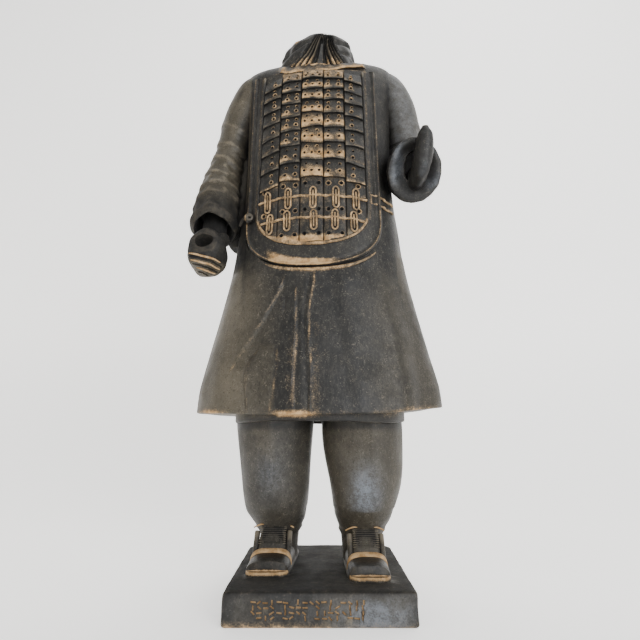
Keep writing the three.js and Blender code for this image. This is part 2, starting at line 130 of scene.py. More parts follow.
def skin_of(mesh):
    """A search tree of a mesh's skin, to cast rays at."""
    bm = bmesh.new()
    bm.from_mesh(mesh)
    skin = BVHTree.FromBMesh(bm)
    bm.free()
    return skin


def ring_faces(count, sides, closed=False):
    """Quads from each ring of points to the next. closed joins the last ring to the first."""
    faces = []
    for r in range(count if closed else count - 1):
        for s in range(sides):
            q, n = (s + 1) % sides, (r + 1) % count
            faces.append([r * sides + s, r * sides + q, n * sides + q, n * sides + s])
    return faces


def give_mark_slots(thing):
    while len(thing.data.materials) < MARK_COUNT:
        thing.data.materials.append(None)


def apply_modifiers(thing):
    """The modifiers' result takes the place of the thing's own mesh."""
    solid = bpy.data.meshes.new_from_object(thing.evaluated_get(bpy.context.evaluated_depsgraph_get()))
    thing.modifiers.clear()
    thing.data = solid


def loft(name, rings):
    """A closed skin through rings of points, all with the same number of sides, in figure millimetres."""
    rings = np.asarray(rings, float)
    count, sides = rings.shape[:2]
    points = list(up(rings.reshape(-1, 3)))
    faces = ring_faces(count, sides)
    for first, flip in ((0, True), ((count - 1) * sides, False)):
        points.append(np.mean(points[first:first + sides], axis=0))
        for s in range(sides):
            a, b = first + s, first + (s + 1) % sides
            faces.append([b, a, len(points) - 1] if flip else [a, b, len(points) - 1])
    return mesh_object(name, points, faces)


def slab(name, front, back, overhang=None):
    """A closed sheet between two matching grids of figure millimetres. overhang marks its last row."""
    rows, cols = front.shape[:2]
    count = rows * cols
    grid = np.arange(count).reshape(rows, cols)
    quads = np.stack([grid[:-1, :-1], grid[:-1, 1:], grid[1:, 1:], grid[1:, :-1]], -1).reshape(-1, 4)
    faces = quads.tolist() + (quads[:, ::-1] + count).tolist()
    rim = np.concatenate([grid[0, :-1], grid[:-1, -1], grid[-1, :0:-1], grid[:0:-1, 0]])
    for a, b in zip(rim.tolist(), np.roll(rim, -1).tolist()):
        faces.append([b, a, a + count, b + count])
    thing = mesh_object(name, up(np.concatenate([front.reshape(-1, 3), back.reshape(-1, 3)])), faces)
    if overhang is not None:
        give_mark_slots(thing)
        for face in thing.data.polygons:
            if (rows - 2) * (cols - 1) <= face.index < (rows - 1) * (cols - 1):
                face.material_index = overhang
    return thing


def tube(name, path, radii, sides=8):
    """A round cord along a path of points, in figure millimetres."""
    path = np.asarray(path, float)
    radii = np.broadcast_to(np.asarray(radii, float), (len(path),))
    ahead = np.roll(path, -1, 0) - np.roll(path, 1, 0)
    ahead[0], ahead[-1] = path[1] - path[0], path[-1] - path[-2]
    ahead /= np.linalg.norm(ahead, axis=1)[:, None]
    side = np.cross(ahead, [0.0, 1.0, 0.001])
    side /= np.linalg.norm(side, axis=1)[:, None]
    rise = np.cross(side, ahead)
    turn = np.arange(sides) * TAU / sides
    rings = path[:, None] + radii[:, None, None] * (
        side[:, None] * np.cos(turn)[None, :, None] + rise[:, None] * np.sin(turn)[None, :, None])
    return loft(name, rings)


def combine(base, tools, operation, mark=None):
    """Joins or cuts solids one after another, then removes the tools. mark numbers the tools' faces."""
    give_mark_slots(base)
    for tool in tools:
        give_mark_slots(tool)
        if mark is not None:
            tool.data.polygons.foreach_set("material_index", np.full(len(tool.data.polygons), mark))
        step = base.modifiers.new("step", "BOOLEAN")
        step.operation = operation
        step.solver = "MANIFOLD"
        step.object = tool
    apply_modifiers(base)
    for tool in tools:
        bpy.data.objects.remove(tool)
    return base


# The robe and the trunk: height, half width, front, back, squareness
HEM = 109.5
HEM_HALF_WIDTH = 97.0
TRUNK_TOP = 438.0
TRUNK_SHIFT = -1.0
TRUNK = [
    [HEM, HEM_HALF_WIDTH, 59.5, 58, 2.2],
    [131.5, 95, 57.5, 57, 2.2],
    [196.5, 80, 50.5, 49, 2.2],
    [229.5, 73, 46.5, 44, 2.3],
    [262.5, 69, 43.5, 40, 2.4],
    [284.5, 66, 42.5, 38.5, 2.5],
    [306.5, 64.5, 42, 38.5, 2.5],
    [339.5, 64, 41.5, 40, 2.5],
    [374.5, 65.5, 39.5, 41.5, 2.5],
    [399.5, 69, 35.5, 41, 2.5],
    [412, 70, 32, 38, 2.5],
    [422, 68, 25, 33, 2.4],
    [428, 62, 18, 28, 2.3],
    [433, 52, 14, 22, 2.2],
    [TRUNK_TOP, 38, 10, 16, 2],
]
CHEST_TURN = math.radians(-4)
HEM_RISE = 4.7
HEM_SLANT = 2.3
HEM_BLEND = 45.0
HEM_ROUND = 1.6

# Lines pressed into the robe's front, each as height and x
SEAM_C = [[100, -5.9], [114.7, -5.9], [144.2, -6.1], [153, -7.2], [168, -7.7], [180.2, -8.3], [192.8, -7.2],
          [205.6, -5.0], [216.4, -4.0], [245, -3.0]]
LINE_B = [[100, -18.4], [115.9, -18.4], [135.6, -18.8], [159, -17.5], [202.6, -18.3], [215, -18.5]]
GROOVE = [[182, -26.4], [200, -26.1]]
LINE_A = [[140, -67.0], [143.9, -64.7], [157.6, -56.0], [172.5, -47.4], [190.8, -37.3], [201.7, -31.5],
          [210.5, -27.9]]
LEAF_LEFT = [[104, -49.5], [109.2, -51.0], [129.7, -53.5], [140.3, -53.4], [151, -49.4], [159.8, -42.2]]
LEAF_RIGHT = [[104, -35.5], [115.6, -34.6], [129.8, -32.9], [144.4, -31.2], [159.4, -31.7]]
SOFT_FOLD = [[100, 31.5], [115.1, 29.5], [214.1, 16.2], [225, 15]]
SIDE_FOLD = [[100, 55.8], [120.4, 55.2], [188.2, 52.8], [200, 52]]


def chest_turn(h):
    return CHEST_TURN * smoothstep(h, 215, 290)


def drape(angle, h):
    depth = 1.7 * np.clip((250 - h) / 140, 0, 1)
    return depth * (0.6 * np.cos(5 * angle + 0.7) + 0.5 * np.cos(9 * angle + 2.1) + 0.35 * np.cos(14 * angle))


def bump(distance, width):
    return np.exp(-((distance / width) ** 2))


def robe_carving(x, h, frontal):
    """Overlap, lines and panel pressed into the robe's front, as a lift in millimetres."""
    def edge(points):
        return along(points, h)[:, 1]
    low = 1 - smoothstep(h, 210, 222)
    lift = 0.7 * smoothstep(x - edge(SEAM_C), -1.0, 0.4) * (1 - smoothstep(h, 232, 246))
    lift += (0.6 * bump(x - edge(SEAM_C), 1.1) - 0.4 * bump(x - edge(SEAM_C) + 2.4, 1.3)) * low
    low_b = 1 - smoothstep(h, 199, 206)
    lift += (0.7 * bump(x - edge(LINE_B), 1.1) - 0.6 * bump(x - edge(LINE_B) - 2.3, 1.3)) * low_b
    lift += 0.5 * bump(x - edge(LINE_B) + 3.4, 0.9) * low_b * (1 - smoothstep(h, 150, 185))
    groove = smoothstep(h, 179, 184) * (1 - smoothstep(h, 197, 202))
    lift -= 1.0 * bump(x - edge(GROOVE), 1.1) * groove
    crease = smoothstep(h, 141, 152) * (1 - smoothstep(h, 206, 214))
    lift += 0.8 * bump(x - edge(LINE_A), 1.0) * crease
    lift -= 0.7 * bump(x - edge(LINE_A) - 2.2, 1.3) * crease
    lift -= 1.1 * smoothstep(x - edge(LINE_A), 0, 3) * (1 - smoothstep(x - edge(LINE_A), 6, 22)) * crease
    within = smoothstep(x - edge(LEAF_LEFT), -0.9, 0.9) * (1 - smoothstep(x - edge(LEAF_RIGHT), -0.9, 0.9))
    pointed = 1 - smoothstep(h + 0.05 * (x + 42) ** 2, 158, 163)
    leaf = within * pointed * smoothstep(h, 110.5, 112.5)
    lift += leaf * (1.5 - 0.9 * bump(x - edge(LEAF_RIGHT), 3.0))
    lift -= 0.9 * bump(x - edge(LEAF_LEFT) + 1.6, 1.4) * pointed * (1 - smoothstep(h, 150, 158))
    lift += 1.5 * (smoothstep(x - edge(SOFT_FOLD), -9, 3) - smoothstep(x - edge(SOFT_FOLD), 6, 40)) * low
    lift += 1.4 * (smoothstep(x - edge(SIDE_FOLD), -6, 2) - smoothstep(x - edge(SIDE_FOLD), 4, 24)) * (
        1 - smoothstep(h, 176, 196))
    lift += 1.2 * bump(x + 78 - 0.10 * (h - 110), 7) * (1 - smoothstep(h, 150, 190))
    return lift * frontal


def hem_rise(angle, h):
    c = np.cos(angle)
    return (HEM_RISE * c * c + HEM_SLANT * c * np.abs(c)) * np.clip(1 - (h - HEM) / HEM_BLEND, 0, 1)


def hem_height(x):
    """The height of the robe's lower edge at places across the figure."""
    share = x / HEM_HALF_WIDTH
    return HEM + HEM_RISE * np.clip(np.abs(share), 0, 1) ** 2 + HEM_SLANT * np.sign(x) * share ** 2


def trunk_points(angle, h):
    """Skin points of the trunk for arrays of angles and heights."""
    angle, h = np.broadcast_arrays(np.asarray(angle, float), np.asarray(h, float))
    flat_angle, flat_h = angle.ravel(), h.ravel()
    row = along(TRUNK, flat_h)
    out = drape(flat_angle, flat_h)
    c, s = np.cos(flat_angle), np.sin(flat_angle)
    out = out + robe_carving(row[:, 1] * power(c, 2 / row[:, 4]), flat_h, smoothstep(-s, 0.0, 0.25))
    out = out - HEM_ROUND * robe_hem_roll(flat_h)
    x = (row[:, 1] + out) * power(c, 2 / row[:, 4])
    y = (np.where(s < 0, row[:, 2], row[:, 3]) + out) * power(s, 2 / row[:, 4])
    turn = chest_turn(flat_h)
    points = np.stack([TRUNK_SHIFT + x * np.cos(turn) - y * np.sin(turn),
                       x * np.sin(turn) + y * np.cos(turn), flat_h + hem_rise(flat_angle, flat_h)], -1)
    return points.reshape(angle.shape + (3,))


def robe_hem_roll(h):
    """The hem's lower edge is rounded off."""
    t = np.clip((HEM + HEM_ROUND - h) / HEM_ROUND, 0, 1)
    return 1 - np.sqrt(np.clip(1 - t * t, 0, 1))


def dense_front(sides, share=0.5):
    turn = np.arange(sides) * TAU / sides
    return turn - share * np.cos(turn)


def trunk_depth(x, h, grow, column):
    """How far the skin stands off before the chest is turned. column is the front's or the back's in TRUNK."""
    row = along(TRUNK, h)
    share = np.clip(np.abs(x) / (row[:, 1] + grow), 0, 0.999)
    return (row[:, column] + grow) * (1 - share ** row[:, 4]) ** (1 / row[:, 4])


def front_at(x, h, grow):
    return -trunk_depth(x, h, grow, 2)


def back_at(x, h, grow):
    return trunk_depth(x, h, grow, 3)


def with_chest(x, y, h):
    """Points turned with the chest and shifted with the trunk."""
    c, s = math.cos(CHEST_TURN), math.sin(CHEST_TURN)
    return np.stack([TRUNK_SHIFT + x * c - y * s, x * s + y * c, h], -1)


def on_chest(x, h, grow):
    """A point on the chest's front, turned with it: x counts from the bib's middle."""
    x, h = np.broadcast_arrays(np.asarray(x, float), np.asarray(h, float))
    flat_x, flat_h = x.ravel(), h.ravel()
    y = front_at(flat_x, flat_h, np.broadcast_to(grow, x.shape).ravel())
    return with_chest(flat_x, y, flat_h).reshape(x.shape + (3,))


def robe():
    fine_edge = np.linspace(HEM, HEM + HEM_ROUND, 5)[:-1]
    levels = np.concatenate([fine_edge, np.linspace(HEM + HEM_ROUND, TRUNK_TOP, 118)])
    angles = dense_front(204)
    return loft("robe", trunk_points(angles[None, :], levels[:, None]))


UNDER_ROBE_BOTTOM = 105.0
UNDER_ROBE_HALF_WIDTH = 67.0
UNDER_ROBE_HALF_DEPTH = 51.0
UNDER_ROBE_REACH = 14.0
ROBE_WALL = 6.0
HEM_RECESS = 9.0


def under_robe_rings(inset, levels, sides):
    turn = np.arange(sides) * TAU / sides
    return [np.stack([(UNDER_ROBE_HALF_WIDTH - inset - e) * power(np.cos(turn), 0.8),
                      (UNDER_ROBE_HALF_DEPTH - inset - e) * power(np.sin(turn), 0.8),
                      np.full(sides, h) + 0.8 * np.sin(3 * turn + 1)], -1) for h, e in levels]


def under_robe():
    b = UNDER_ROBE_BOTTOM
    levels = [(b, 1.4), (b + 0.5, 0.4), (b + 1.4, 0), (HEM + UNDER_ROBE_REACH, 0)]
    return loft("under robe", under_robe_rings(0, levels, 120))


def hem_hollow():
    b = UNDER_ROBE_BOTTOM
    return loft("hollow", under_robe_rings(ROBE_WALL, [(b - 8, 0), (b + HEM_RECESS, 0)], 72))


# The bib: a straight-sided cloth with a round lower end, and its field of plates
BIB_TOP = 402.0
BIB_SHIFT = -2.4
BIB_HALF_WIDTH = 53.5
BIB_BOTTOM = 221.5
BIB_ROUND_FROM = 264.0
BIB_THICKNESS = 2.6
BIB_SPLAY = 0.06
FIELD_HALF_WIDTH = 42.0
FIELD_BOTTOM = 241.0
FIELD_ROUND_FROM = 272.0
ROUND_POWER = 2.4
FULL_ROWS = 10
ROW_COUNT = FULL_ROWS + 1
BOTTOM_ROW = 20.3
ROW_SHRINK = 0.935
LACED_ROWS = 3
LACED_TOP = 290.0
LACED_SHARE = 0.3
COLUMN_EDGES = [-FIELD_HALF_WIDTH, -26.2, -9.1, 9.1, 26.2, FIELD_HALF_WIDTH]
COLUMN_DROPS = [(10, 5.6), (3, 2.3), (0, 0), (0.7, 0.7), (3.2, 6.5)]
COLUMN_LIFT = (0.0, 0.2, 0.5, 0.25, 0.0)
PLATE_RISE = 3.1

# Where the lacing loops stand across the chest, on the upper and the lower line
LOOPS_A = (-38.3, -21.4, -1.3, 16.9, 32.8)
LOOPS_B = (-35.9, -21.9, -0.6, 16.1, 30.9)


def splay(h):
    return 1 + BIB_SPLAY * ((BIB_TOP - h) / (BIB_TOP - BIB_BOTTOM))


def half_width_at(h, half_width, round_from, bottom):
    """Half width of a straight-sided outline with a round lower end."""
    down = np.clip((round_from - h) / (round_from - bottom), 0, 1)
    return half_width * splay(h) * (1 - down ** ROUND_POWER) ** (1 / ROUND_POWER)


def outline_share(x, h, half_width, round_from, bottom):
    """0 in an outline's middle, 1 on its edge and more outside."""
    down = np.clip((round_from - h) / (round_from - bottom), 0, 2)
    return ((np.abs(x) / (half_width * splay(h))) ** ROUND_POWER + down ** ROUND_POWER) ** (1 / ROUND_POWER)


def lower_curve(half_width, round_from, bottom, turn):
    """x and height round an outline's lower end, for angles from pi to two pi."""
    h = round_from + (round_from - bottom) * power(np.sin(turn), 2 / ROUND_POWER)
    return half_width * splay(h) * power(np.cos(turn), 2 / ROUND_POWER), h


def bib_edge_path(half_width, round_from, bottom, grow, steps=120):
    """Points along the outline, down one side, round the end and up the other."""
    side = np.linspace(BIB_TOP, round_from, steps // 3)[:-1]
    round_x, round_h = lower_curve(half_width, round_from, bottom, np.linspace(math.pi, TAU, steps))
    x = np.concatenate([-half_width * splay(side), round_x, half_width * splay(side)[::-1]])
    h = np.concatenate([side, round_h, side[::-1]])
    return on_chest(x + BIB_SHIFT, h, grow)


def round_end(half_width, round_from, bottom, grow, start, stop, steps=90):
    """Points along an outline's round lower end only, between two angles in degrees."""
    turn = np.linspace(math.radians(start), math.radians(stop), steps)
    x, h = lower_curve(half_width, round_from, bottom, turn)
    return on_chest(x + BIB_SHIFT, h, grow)


def bib_slit():
    """The bib's lower edge stands off the robe, with a narrow gap under it."""
    path = round_end(BIB_HALF_WIDTH + 0.2, BIB_ROUND_FROM, BIB_BOTTOM - 0.2, 0.5, 192, 347)
    t = np.linspace(0, 1, len(path))
    return tube("bib slit", path, 0.25 + 1.05 * np.sin(math.pi * t) ** 0.45, 8)


def bib_ridge():
    """The robe is pushed up in a ridge below the gap."""
    path = round_end(BIB_HALF_WIDTH + 2.4, BIB_ROUND_FROM - 1, BIB_BOTTOM - 2.4, 0.1, 205, 325)
    t = np.linspace(0, 1, len(path))
    return tube("bib ridge", path, 0.3 + 1.25 * np.sin(math.pi * t) ** 0.6, 8)


def bib():
    levels = np.concatenate([
        np.linspace(BIB_TOP + 3, BIB_ROUND_FROM, 60),
        BIB_ROUND_FROM + (BIB_BOTTOM - BIB_ROUND_FROM) * np.sin(np.linspace(0, math.pi / 2, 40))[1:]])
    u = np.sin(np.linspace(-math.pi / 2, math.pi / 2, 84))
    rings = []
    for h in levels:
        w = max(float(half_width_at(h, BIB_HALF_WIDTH, BIB_ROUND_FROM, BIB_BOTTOM)), 0.4)
        x = u * w
        inside = (1 - outline_share(x, h, BIB_HALF_WIDTH, BIB_ROUND_FROM, BIB_BOTTOM)) * BIB_HALF_WIDTH
        low = float(1 - smoothstep(h, 262, 285))
        lift = BIB_THICKNESS * np.clip(inside / 0.9, 0, 1) ** 0.45
        lift = lift + (0.9 + 0.4 * low) * bump(inside - 1.2, 1.3)
        lift = lift - (0.9 - 0.5 * low) * bump(inside - 4.4, 1.2)
        front = on_chest(x + BIB_SHIFT, np.full_like(x, h), lift)
        back = on_chest(x[::-1] * 0.98 + BIB_SHIFT, np.full_like(x, h), -5.0)
        rings.append(np.concatenate([front, back]))
    return loft("bib", rings)


def row_edges():
    edges = [FIELD_BOTTOM]
    for i in range(FULL_ROWS):
        edges.insert(0, edges[0] + BOTTOM_ROW * ROW_SHRINK ** i)
    return [BIB_TOP] + edges


def pit_blank():
    """A pointed plug that presses a pit: axis Y, a unit wide at the skin."""
    sides = 9
    turn = np.arange(sides) * TAU / sides
    rings = [(-1.2, 0.62), (0.0, 0.5), (0.9, 0.34), (1.35, 0.12)]
    points = [[r * math.cos(a), y, r * math.sin(a)] for y, r in rings for a in turn]
    faces = ring_faces(len(rings), sides)
    faces += [list(range(sides))[::-1], [(len(rings) - 1) * sides + s for s in range(sides)]]
    return blank("pit blank", points, faces)


def ring_blank():
    """A low raised ring round a hole: axis Y, a unit wide inside."""
    around, section = 10, 4
    points = []
    for n in range(around):
        a = TAU * n / around
        for s in range(section):
            b = TAU * s / section
            r = 0.70 + 0.22 * math.cos(b)
            points.append([r * math.cos(a), -0.42 * math.sin(b), r * math.sin(a)])
    return blank("ring blank", points, ring_faces(around, section, closed=True))


def loop_blank():
    """A raised lacing loop: a long ring with a bar in it, a unit wide and tall, axis Y out of the cloth."""
    around, section = 28, 6
    turn = np.arange(around) * TAU / around
    half_x, straight = 0.36, 0.30
    points = []
    for angle in turn:
        out = Vector((math.cos(angle), 0, math.sin(angle)))
        x = half_x * math.cos(angle)
        z = half_x * 0.5 * math.sin(angle) + math.copysign(straight, math.sin(angle) or 1)
        for s in range(section):
            a = TAU * s / section
            wide, tall = 0.13 * out.x * math.cos(a), 0.035 * out.z * math.cos(a)
            points.append([x + wide, -0.55 * math.sin(a), z + tall])
    faces = ring_faces(around, section, closed=True)
    first = len(points)
    for z in (-0.33, 0.33):
        for x, y in ((-0.09, 0.4), (-0.09, -0.35), (0.09, -0.35), (0.09, 0.4)):
            points.append([x, y, z])
    faces += [[first + q for q in face] for face in
              ([0, 1, 2, 3], [7, 6, 5, 4], [0, 4, 5, 1], [1, 5, 6, 2], [2, 6, 7, 3], [3, 7, 4, 0])]
    return blank("loop blank", points, faces)


def blank(name, points, faces):
    thing = mesh_object(name, points, faces)
    bm = bmesh.new()
    bm.from_mesh(thing.data)
    bmesh.ops.recalc_face_normals(bm, faces=bm.faces)
    bm.to_mesh(thing.data)
    bm.free()
    return thing


# One Geometry Nodes tree sets a blank on every point, with the point's own size and facing
def setting_tree():
    tree = bpy.data.node_groups.new("set blanks on points", "GeometryNodeTree")
    face = tree.interface
    face.new_socket("Geometry", in_out="INPUT", socket_type="NodeSocketGeometry")
    face.new_socket("Blank", in_out="INPUT", socket_type="NodeSocketObject")
    face.new_socket("Scale", in_out="INPUT", socket_type="NodeSocketFloat").default_value = 1.0
    face.new_socket("Wobble", in_out="INPUT", socket_type="NodeSocketFloat").default_value = 0.0
    face.new_socket("Seed", in_out="INPUT", socket_type="NodeSocketInt").default_value = 3
    face.new_socket("Clay", in_out="INPUT", socket_type="NodeSocketMaterial")
    face.new_socket("Geometry", in_out="OUTPUT", socket_type="NodeSocketGeometry")
    make, link = tree.nodes.new, tree.links.new
    given, result = make("NodeGroupInput"), make("NodeGroupOutput")
    blank_info = make("GeometryNodeObjectInfo")
    blank_info.inputs["As Instance"].default_value = True
    link(given.outputs["Blank"], blank_info.inputs["Object"])
    size, facing = make("GeometryNodeInputNamedAttribute"), make("GeometryNodeInputNamedAttribute")
    for node, name in ((size, "size"), (facing, "facing")):
        node.data_type = "FLOAT_VECTOR"
        node.inputs["Name"].default_value = name
    scaled = make("ShaderNodeVectorMath")
    scaled.operation = "SCALE"
    link(size.outputs["Attribute"], scaled.inputs[0])
    link(given.outputs["Scale"], scaled.inputs["Scale"])
    wobble = make("FunctionNodeRandomValue")
    wobble.data_type = "FLOAT_VECTOR"
    wobble.inputs["Min"].default_value = (-1, -1, -1)
    wobble.inputs["Max"].default_value = (1, 1, 1)
    link(given.outputs["Seed"], wobble.inputs["Seed"])
    shaken = make("ShaderNodeVectorMath")
    shaken.operation = "SCALE"
    link(wobble.outputs["Value"], shaken.inputs[0])
    link(given.outputs["Wobble"], shaken.inputs["Scale"])
    turned = make("ShaderNodeVectorMath")
    link(facing.outputs["Attribute"], turned.inputs[0])
    link(shaken.outputs["Vector"], turned.inputs[1])
    euler = make("FunctionNodeEulerToRotation")
    link(turned.outputs["Vector"], euler.inputs[0])
    placed = make("GeometryNodeInstanceOnPoints")
    link(given.outputs["Geometry"], placed.inputs["Points"])
    link(blank_info.outputs["Geometry"], placed.inputs["Instance"])
    link(euler.outputs[0], placed.inputs["Rotation"])
    link(scaled.outputs["Vector"], placed.inputs["Scale"])
    real = make("GeometryNodeRealizeInstances")
    link(placed.outputs["Instances"], real.inputs["Geometry"])
    clay = make("GeometryNodeSetMaterial")
    link(real.outputs["Geometry"], clay.inputs["Geometry"])
    link(given.outputs["Clay"], clay.inputs["Material"])
    link(clay.outputs["Geometry"], result.inputs["Geometry"])
    return tree


def set_on_points(name, tree, piece, places, scale=1.0, wobble=0.0):
    """places: rows of point, size and facing. Returns one plain mesh and removes the blank."""
    mesh = bpy.data.meshes.new(name)
    mesh.from_pydata([tuple(up(p)) for p, _, _ in places], [], [])
    for key, column in (("size", 1), ("facing", 2)):
        values = mesh.attributes.new(key, "FLOAT_VECTOR", "POINT")
        values.data.foreach_set("vector", np.array([row[column] for row in places], float).ravel())
    thing = bpy.data.objects.new(name, mesh)
    bpy.context.scene.collection.objects.link(thing)
    step = thing.modifiers.new("set", "NODES")
    step.node_group = tree
    named = {item.name: item.identifier for item in tree.interface.items_tree if item.in_out == "INPUT"}
    step[named["Blank"]] = piece
    step[named["Scale"]] = scale
    step[named["Wobble"]] = wobble
    step[named["Clay"]] = clay_material()
    apply_modifiers(thing)
    bpy.data.objects.remove(piece)
    return thing


def chest_facing(x, h, grow, lean=0.0):
    """Euler angles that turn -Y to the chest's outward direction at a place."""
    step = 2.0
    sideways = on_chest(x + step, h, grow) - on_chest(x - step, h, grow)
    upward = on_chest(x, h + step, grow) - on_chest(x, h - step, grow)
    sideways, upward = Vector(sideways.ravel()).normalized(), Vector(upward.ravel()).normalized()
    outward = sideways.cross(upward).normalized()
    upward = outward.cross(sideways).normalized()
    turn = Matrix((sideways, -outward, upward)).transposed()
    return (turn @ Euler((lean, 0, 0)).to_matrix()).to_euler()


def plate_grid():
    """Row, column, left, right, top and bottom of each plate."""
    edges = row_edges()
    for r in range(ROW_COUNT):
        # The cuff's hollow takes the gap mark: painted shade inside the sleeve's mouth
        for c in range(len(COLUMN_EDGES) - 1):
            yield r, c, COLUMN_EDGES[c], COLUMN_EDGES[c + 1], edges[r], edges[r + 1]


# The grooves between the fingers take the gap mark: painted shade in them
def column_drop(c, share, h):
    """How far a column hangs below the middle one, from its left edge (0) to its right edge (1)."""
    # The wrist takes the gap mark: it is painted dark as shade inside the cuff
    left, right = COLUMN_DROPS[c]
    fade = LACED_SHARE + (1 - LACED_SHARE) * smoothstep(h, LACED_TOP - 2, LACED_TOP + 8)
    return (left + (right - left) * share) * fade


def plate_row(r, top, bottom, shake):
    """One row of plates: each rises towards its lower edge, laps over the next row and overhangs it."""
    laced = r >= ROW_COUNT - LACED_ROWS
    tuck, lap = 2.0, (-0.3 if laced else 1.5)
    down = [(0.0, 0.10), (0.15, 0.24), (0.4, 0.50), (0.65, 0.74), (0.85, 0.92), (0.95, 1.0), (0.985, 0.95),
            (1.0, 0.80)]
    swell = [(0.0, 0.0), (0.028, 0.72), (0.06, 0.95), (0.28, 1.0), (0.5, 1.03), (0.72, 1.0), (0.94, 0.95),
             (0.972, 0.72), (1.0, 0.0)]
    across = []
    for c in range(len(COLUMN_EDGES) - 1):
        left, right = COLUMN_EDGES[c], COLUMN_EDGES[c + 1]
        for share, full in swell:
            across.append((left + 0.02 + (right - left - 0.04) * share, full, c, share))
    front, back = [], []
    for w, rise in down + [(1.0, None)]:
        ahead, behind = [], []
        for x, full, c, share in across:
            twist, sag, push = shake[c]
            level = top + tuck - (top + tuck - bottom + lap) * w
            level -= w * (sag + twist * (share - 0.5) + 0.35 * math.sin(5.1 * share + 7 * sag))
            h = level - float(column_drop(c, share, level))
            base, steep = (1.0, 0.5) if laced else (0.25, PLATE_RISE)
            lift = 0.2 + full * (base + COLUMN_LIFT[c] + push + steep * (0.8 if rise is None else rise))
            if rise is None:
                lift, h = 0.1, h + 0.7
            wide = BIB_SHIFT + x * float(splay(level))
            ahead.append((wide, h, BIB_THICKNESS + lift))
            behind.append((wide, h, -2.5))
        front.append(ahead)
        back.append(behind)
    front, back = np.array(front), np.array(back)
    # The underside of each row's lower edge takes the gap mark: painted shade under the lap
    return slab("plates %d" % r, on_chest(front[..., 0], front[..., 1], front[..., 2]),
                on_chest(back[..., 0], back[..., 1], back[..., 2]), GAP)


def plates():
    edges = row_edges()
    chance = np.random.default_rng(11)
    rows = []
    for r in range(ROW_COUNT):
        laced = r >= ROW_COUNT - LACED_ROWS
        size = 0.35 if laced else 1.0
        shake = chance.uniform((-1.2, -0.7, -0.25), (1.2, 0.7, 0.35), (len(COLUMN_EDGES) - 1, 3)) * size
        rows.append(plate_row(r, edges[r], edges[r + 1], shake))
    return combine(rows[0], rows[1:], "UNION")


def pit_places():
    """Lacing holes: two or three low in each plate, and one or two high in the middle columns."""
    high = {0: (0.6,), 1: (0.35, 0.78), 2: (0.26, 0.72), 3: (0.25, 0.75), 4: (0.4,)}
    low = {0: (0.62,), 1: (0.3, 0.76), 2: (0.18, 0.5, 0.82), 3: (0.22, 0.74), 4: (0.38,)}
    laced = {0: (0.3,), 1: (0.22, 0.8), 2: (0.22, 0.8), 3: (0.22, 0.8), 4: (0.6,)}
    laced_down = {ROW_COUNT - 3: 0.34, ROW_COUNT - 2: 0.60, ROW_COUNT - 1: 0.66}
    places = []
    for r, c, left, right, top, bottom in plate_grid():
        spots = [(s, 0.34, 1.8) for s in high[c]] + [(s, 0.74, 2.2) for s in low[c]]
        if r in laced_down:
            spots = [(s, laced_down[r], 2.9) for s in laced[c]]
        for share, down, size in spots:
            level = top - (top - bottom) * down
            x = BIB_SHIFT + (left + (right - left) * share) * float(splay(level))
            h = level - float(column_drop(c, share, level))
            inside = half_width_at(h, FIELD_HALF_WIDTH - 2.5, FIELD_ROUND_FROM, FIELD_BOTTOM + 2)
            if abs(x - BIB_SHIFT) > inside:
                continue
            lift = 1.2 if r in laced_down else 0.35 + COLUMN_LIFT[c] + PLATE_RISE * down
            grow = BIB_THICKNESS + 0.2 + lift
            point = on_chest(x, h, grow).ravel()
            places.append((point, (size * MM, 1.3 * MM, size * MM), tuple(chest_facing(x, h, grow))))
    return places


def pits(tree, places):
    return set_on_points("pits", tree, pit_blank(), places, wobble=0.12)


def pit_rings(tree, places):
    return set_on_points("pit rings", tree, ring_blank(), places, wobble=0.05)


def lacing_loops(tree):
    places = []
    for h, tall, spots in ((279.0, 19.0, LOOPS_A), (259.6, 18.0, LOOPS_B)):
        for x in spots:
            place = h - (1.6 if abs(x) > 30 else 0.0)
            grow = BIB_THICKNESS + 2.3
            point = on_chest(x, place, grow).ravel()
            places.append((point, (6.2 * MM, 1.5 * MM, tall * MM), tuple(chest_facing(x, place, grow))))
    return set_on_points("lacing loops", tree, loop_blank(), places, wobble=0.04)


def field_outline_prism():
    """Everything inside the plate field's outline, from the chest outwards."""
    path = bib_edge_path(FIELD_HALF_WIDTH, FIELD_ROUND_FROM, FIELD_BOTTOM, 0.0, steps=60)
    near, far = path.copy(), path.copy()
    near[:, 1], far[:, 1] = -8.0, -75.0
    near[[0, -1], 2] += 3.5
    far[[0, -1], 2] += 3.5
    return loft("field outline", [near, far])


def field_rims():
    """Thin raised lines round the field: dark at the sides and rubbed bare at the round foot."""
    rim = bib_edge_path(FIELD_HALF_WIDTH + 0.7, FIELD_ROUND_FROM - 0.5, FIELD_BOTTOM - 0.9,
                        BIB_THICKNESS + 0.7)
    t = np.linspace(0, 1, len(rim))
    radii = 1.0 + 0.2 * np.sin(31 * t) * np.sin(57 * t + 1) + 0.6 * bump((t - 0.42) / 0.16, 1.0)
    low, high = int(len(t) * 0.24), int(len(t) * 0.76)
    sides = [tube("rim", rim[:low + 2], radii[:low + 2]), tube("rim", rim[high - 2:], radii[high - 2:])]
    return sides, [tube("rim foot", rim[low:high], radii[low:high])]


def row_lines():
    """Raised lines along the tops of the two lowest rows."""
    lines = []
    edges = row_edges()
    for line in (ROW_COUNT - 2, ROW_COUNT - 1):
        level = edges[line]
        reach = float(half_width_at(level - 3, FIELD_HALF_WIDTH, FIELD_ROUND_FROM, FIELD_BOTTOM))
        x = np.linspace(-reach, reach, 60)
        share = np.abs(x) / FIELD_HALF_WIDTH
        h = level + 0.8 - 3.2 * share ** 2 + 0.35 * np.sin(x / 2.3)
        path = on_chest(x + BIB_SHIFT, h, BIB_THICKNESS + 1.7)
        lines.append(tube("row line", path, 1.0 + 0.15 * np.sin(x * 1.3), 6))
    return lines


